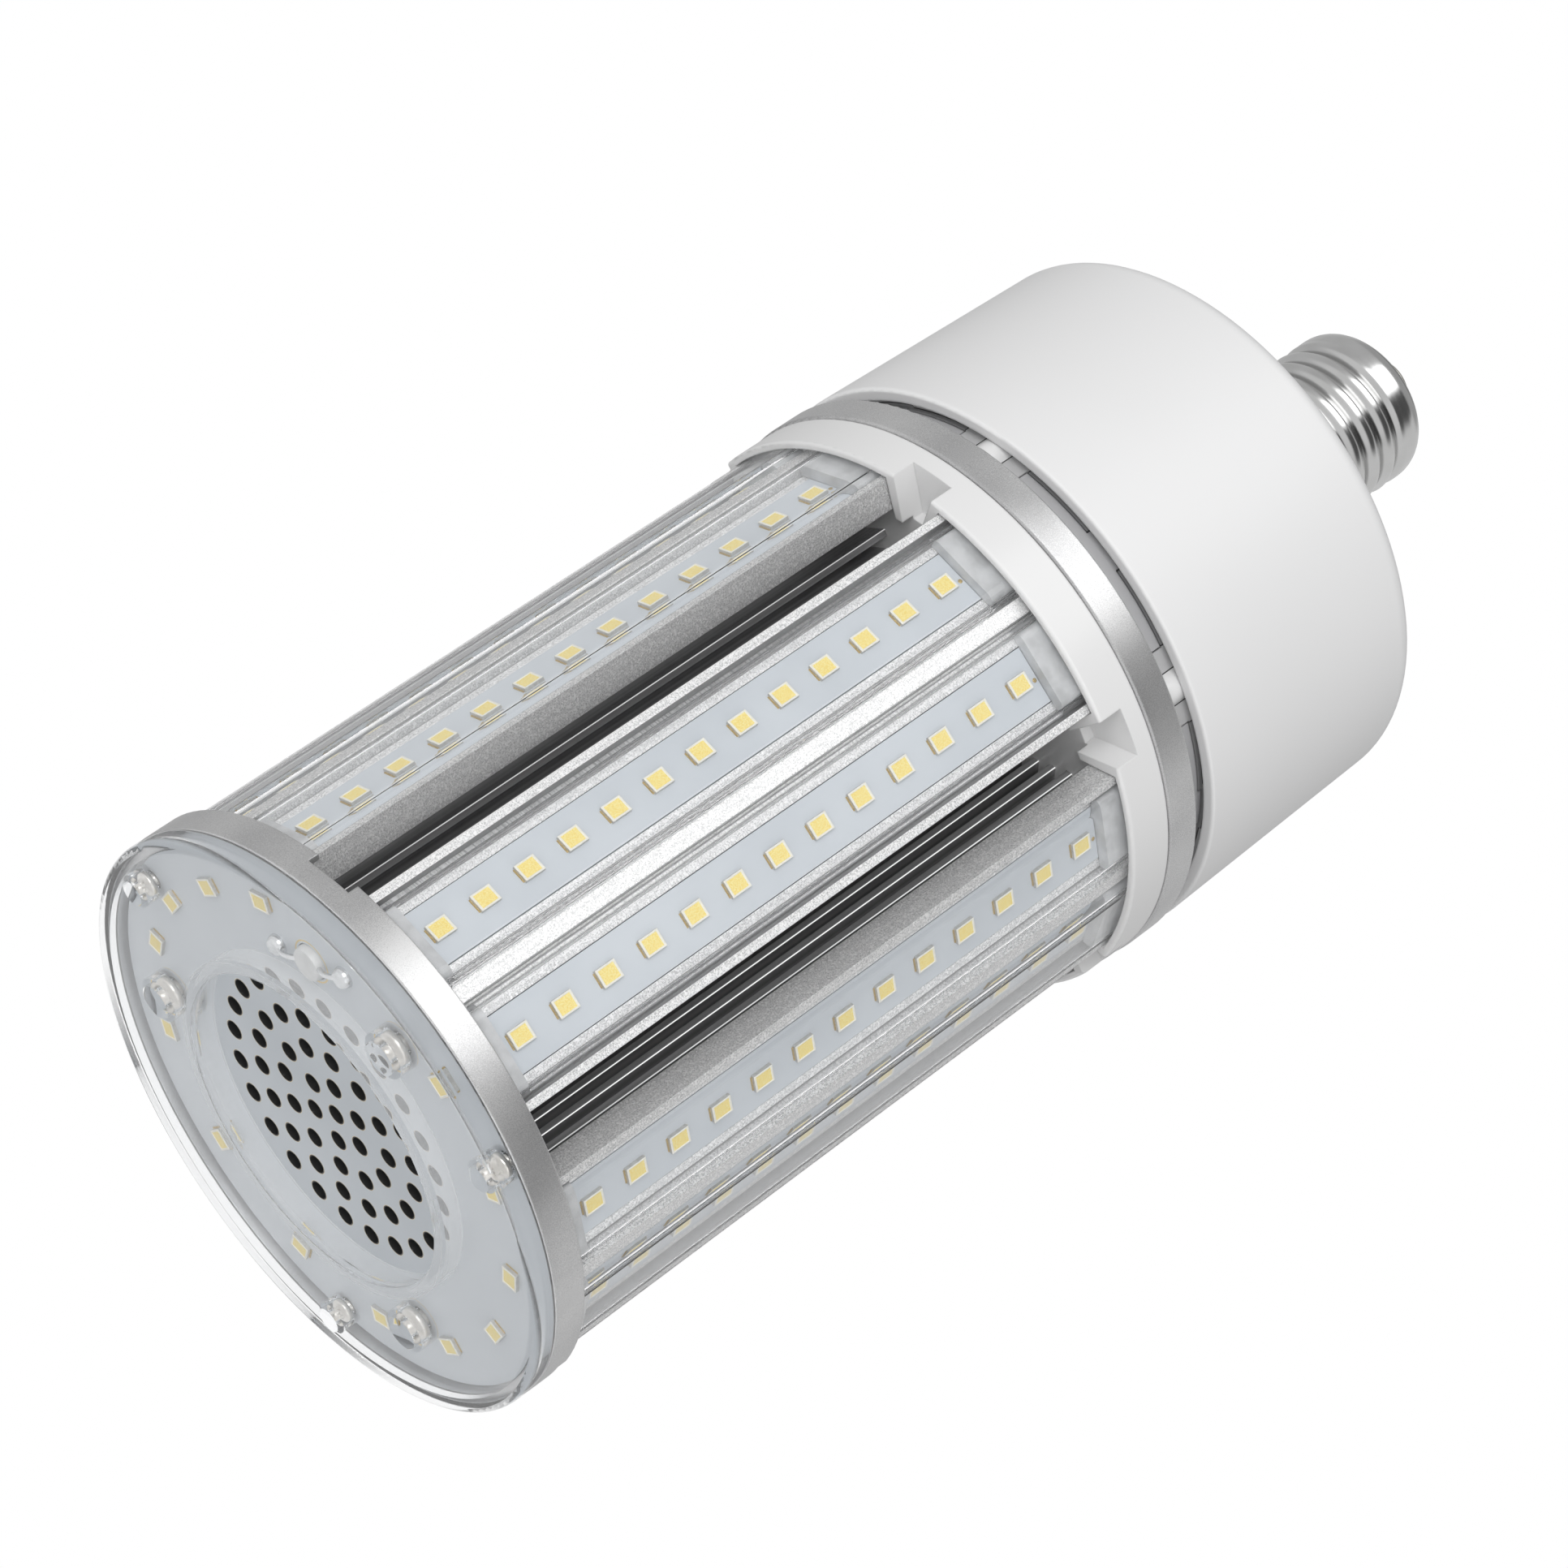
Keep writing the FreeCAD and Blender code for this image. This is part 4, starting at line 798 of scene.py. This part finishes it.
# A small gold dot by the last LED of every strip: a flat closed disc whose rows run from the middle of its back
# over its rim to the middle of its face
def makeBoardDots():
    v = dotValues
    turn = around(v["columns"])
    reach = np.array(v["reach"])[:, None] * v["radius"]
    out = np.array(v["height"])[:, None] * v["thick"] + stripValues["boardTop"] + 0 * turn
    across, along = v["across"] + reach * np.cos(turn), v["level"] + reach * np.sin(turn)
    allPoints, allFaces = [], []
    for pair in range(stripValues["pairs"]):
        for side in (-1, 1):
            bearing = math.radians(pair * 360.0 / stripValues["pairs"] + side * stripValues["turn"])
            x = out * math.cos(bearing) - across * math.sin(bearing)
            y = out * math.sin(bearing) + across * math.cos(bearing)
            allFaces.append(ringFaces(*out.shape) + len(allPoints) * out.size)
            allPoints.append(np.stack([x, y, along], -1).reshape(-1, 3))
    points, faces = np.concatenate(allPoints) * mm, np.concatenate(allFaces)
    newPiece("boardDots", points, faces, ["led_pad"], poles=True)


makeLeadEnds()
makeBoardDots()
print("stage: lead ends and board dots made")


cameraValues = {
    "place": (-0.37450, 0.53876, -0.27465), "turn": (134.616, -45.765, 179.750),   # metres and degrees
    "lens": 116.285, "sensor": 36.0, "nearest": 0.01, "farthest": 50.0,
}


def makeCamera():
    v = cameraValues
    lens = bpy.data.cameras.new("photoCamera")
    lens.lens = v["lens"]
    lens.sensor_width = v["sensor"]
    lens.clip_start = v["nearest"]
    lens.clip_end = v["farthest"]
    camera = bpy.data.objects.new("photoCamera", lens)
    camera.location = v["place"]
    camera.rotation_euler = [math.radians(angle) for angle in v["turn"]]
    scene.collection.objects.link(camera)
    scene.camera = camera


floorValues = {"half": 6.0, "paint": (0.9, 0.9, 0.9)}


# The floor shows from above only, so that the photograph's low view looks past it
def makeFloor():
    half = floorValues["half"]
    mesh = bpy.data.meshes.new("studioFloor")
    mesh.from_pydata([(-half, -half, 0), (half, -half, 0), (half, half, 0), (-half, half, 0)], [], [(0, 1, 2, 3)])
    finish = newFinish("studioFloor")
    paint = finish.node("ShaderNodeBsdfDiffuse", values={"Color": opaque(floorValues["paint"])})
    openAir = finish.node("ShaderNodeBsdfTransparent")
    below = finish.node("ShaderNodeNewGeometry", output="Backfacing")
    mixed = finish.node("ShaderNodeMixShader", values={0: below, 1: paint, 2: openAir})
    finish.node("ShaderNodeOutputMaterial", values={"Surface": mixed})
    mesh.materials.append(finish.holder)
    floor = bpy.data.objects.new("studioFloor", mesh)
    scene.collection.objects.link(floor)
    for reach in ("visible_diffuse", "visible_glossy", "visible_transmission", "visible_shadow"):
        setattr(floor, reach, False)


# Lamps stand at a distance from their target in a direction, in metres and watts
lampValues = [
    {"name": "keyLamp", "towards": (-0.36, 0.89, -0.28), "distance": 1.6, "size": 0.9, "power": 9.5},
    {"name": "sideLamp", "towards": (-0.9, 0.1, -0.35), "distance": 1.6, "size": 1.0, "power": 2.2},
]
lampTarget = (0.0, 0.0, 0.11)


def makeLamps():
    for v in lampValues:
        lamp = bpy.data.lights.new(v["name"], "AREA")
        lamp.shape = "SQUARE"
        lamp.size = v["size"]
        lamp.energy = v["power"]
        towards = Vector(v["towards"]).normalized()
        holder = bpy.data.objects.new(v["name"], lamp)
        holder.location = Vector(lampTarget) + towards * v["distance"]
        holder.rotation_euler = towards.to_track_quat("Z", "Y").to_euler()
        holder.visible_glossy = False
        scene.collection.objects.link(holder)


worldValues = {
    # Bearings round the lamp in degrees from -180, and how bright the mirrored room is there
    "mirrorStops": [(-180, 0.09), (-174, 0.10), (-160, 0.62), (-90, 0.62), (0, 0.46), (70, 0.44), (92, 0.55),
                    (100, 2.2), (134, 2.2), (143, 0.16), (150, 0.07), (180, 0.07)],
    "wallFoot": (-0.35, -0.15), "wallTop": (0.80, 0.90), "below": (0.62, 0.62, 0.62), "above": (0.34, 0.34, 0.34),
    "white": (1.0, 1.0, 1.0),
    # Away from the lamps and towards them, the light that comes from all round, and the span of that change
    "dim": (0.20, 0.20, 0.20), "bright": (0.70, 0.70, 0.70), "towards": (-0.18, 0.66, -0.45), "span": (-0.8, 0.8),
}


# The room is white where it is looked at and softly graded where it lights. Where it is mirrored, it has one bright
# window and a black card beside it on a grey wall, each found by its bearing, under a dark ceiling
def makeWorld():
    v = worldValues
    world = bpy.data.worlds.new("studioRoom")
    scene.world = world
    room = Finish(world)
    x, y, z = room.axes(room.node("ShaderNodeTexCoord", output="Generated"))
    bearing = y.maths("ARCTAN2", x) / fullTurn + 0.5
    peak = max(shade for degrees, shade in v["mirrorStops"])
    stops = [((degrees + 180) / 360, shade / peak) for degrees, shade in v["mirrorStops"]]
    wall = room.node("ShaderNodeValToRGB", {"stops": stops}, {0: bearing}) * peak
    mirror = room.mixed(z.step(*v["wallTop"]), room.mixed(z.step(*v["wallFoot"]), v["below"], wall), v["above"])
    towards = x * v["towards"][0] + y * v["towards"][1] + z * v["towards"][2]
    ambient = room.mixed(towards.step(*v["span"]), v["dim"], v["bright"])
    ray = room.node("ShaderNodeLightPath").socket.node
    seen = Wire(room, ray.outputs["Is Camera Ray"]).maths("MAXIMUM", Wire(room, ray.outputs["Is Transmission Ray"]))
    lit = room.mixed(Wire(room, ray.outputs["Is Glossy Ray"]), ambient, mirror)
    colour = room.mixed(seen, lit, v["white"])
    background = room.node("ShaderNodeBackground", values={"Color": colour, "Strength": 1.0})
    room.node("ShaderNodeOutputWorld", values={"Surface": background})


makeCamera()
makeFloor()
makeLamps()
makeWorld()
scene.view_settings.view_transform = "Standard"
print("stage: camera, floor, lamps and room made")
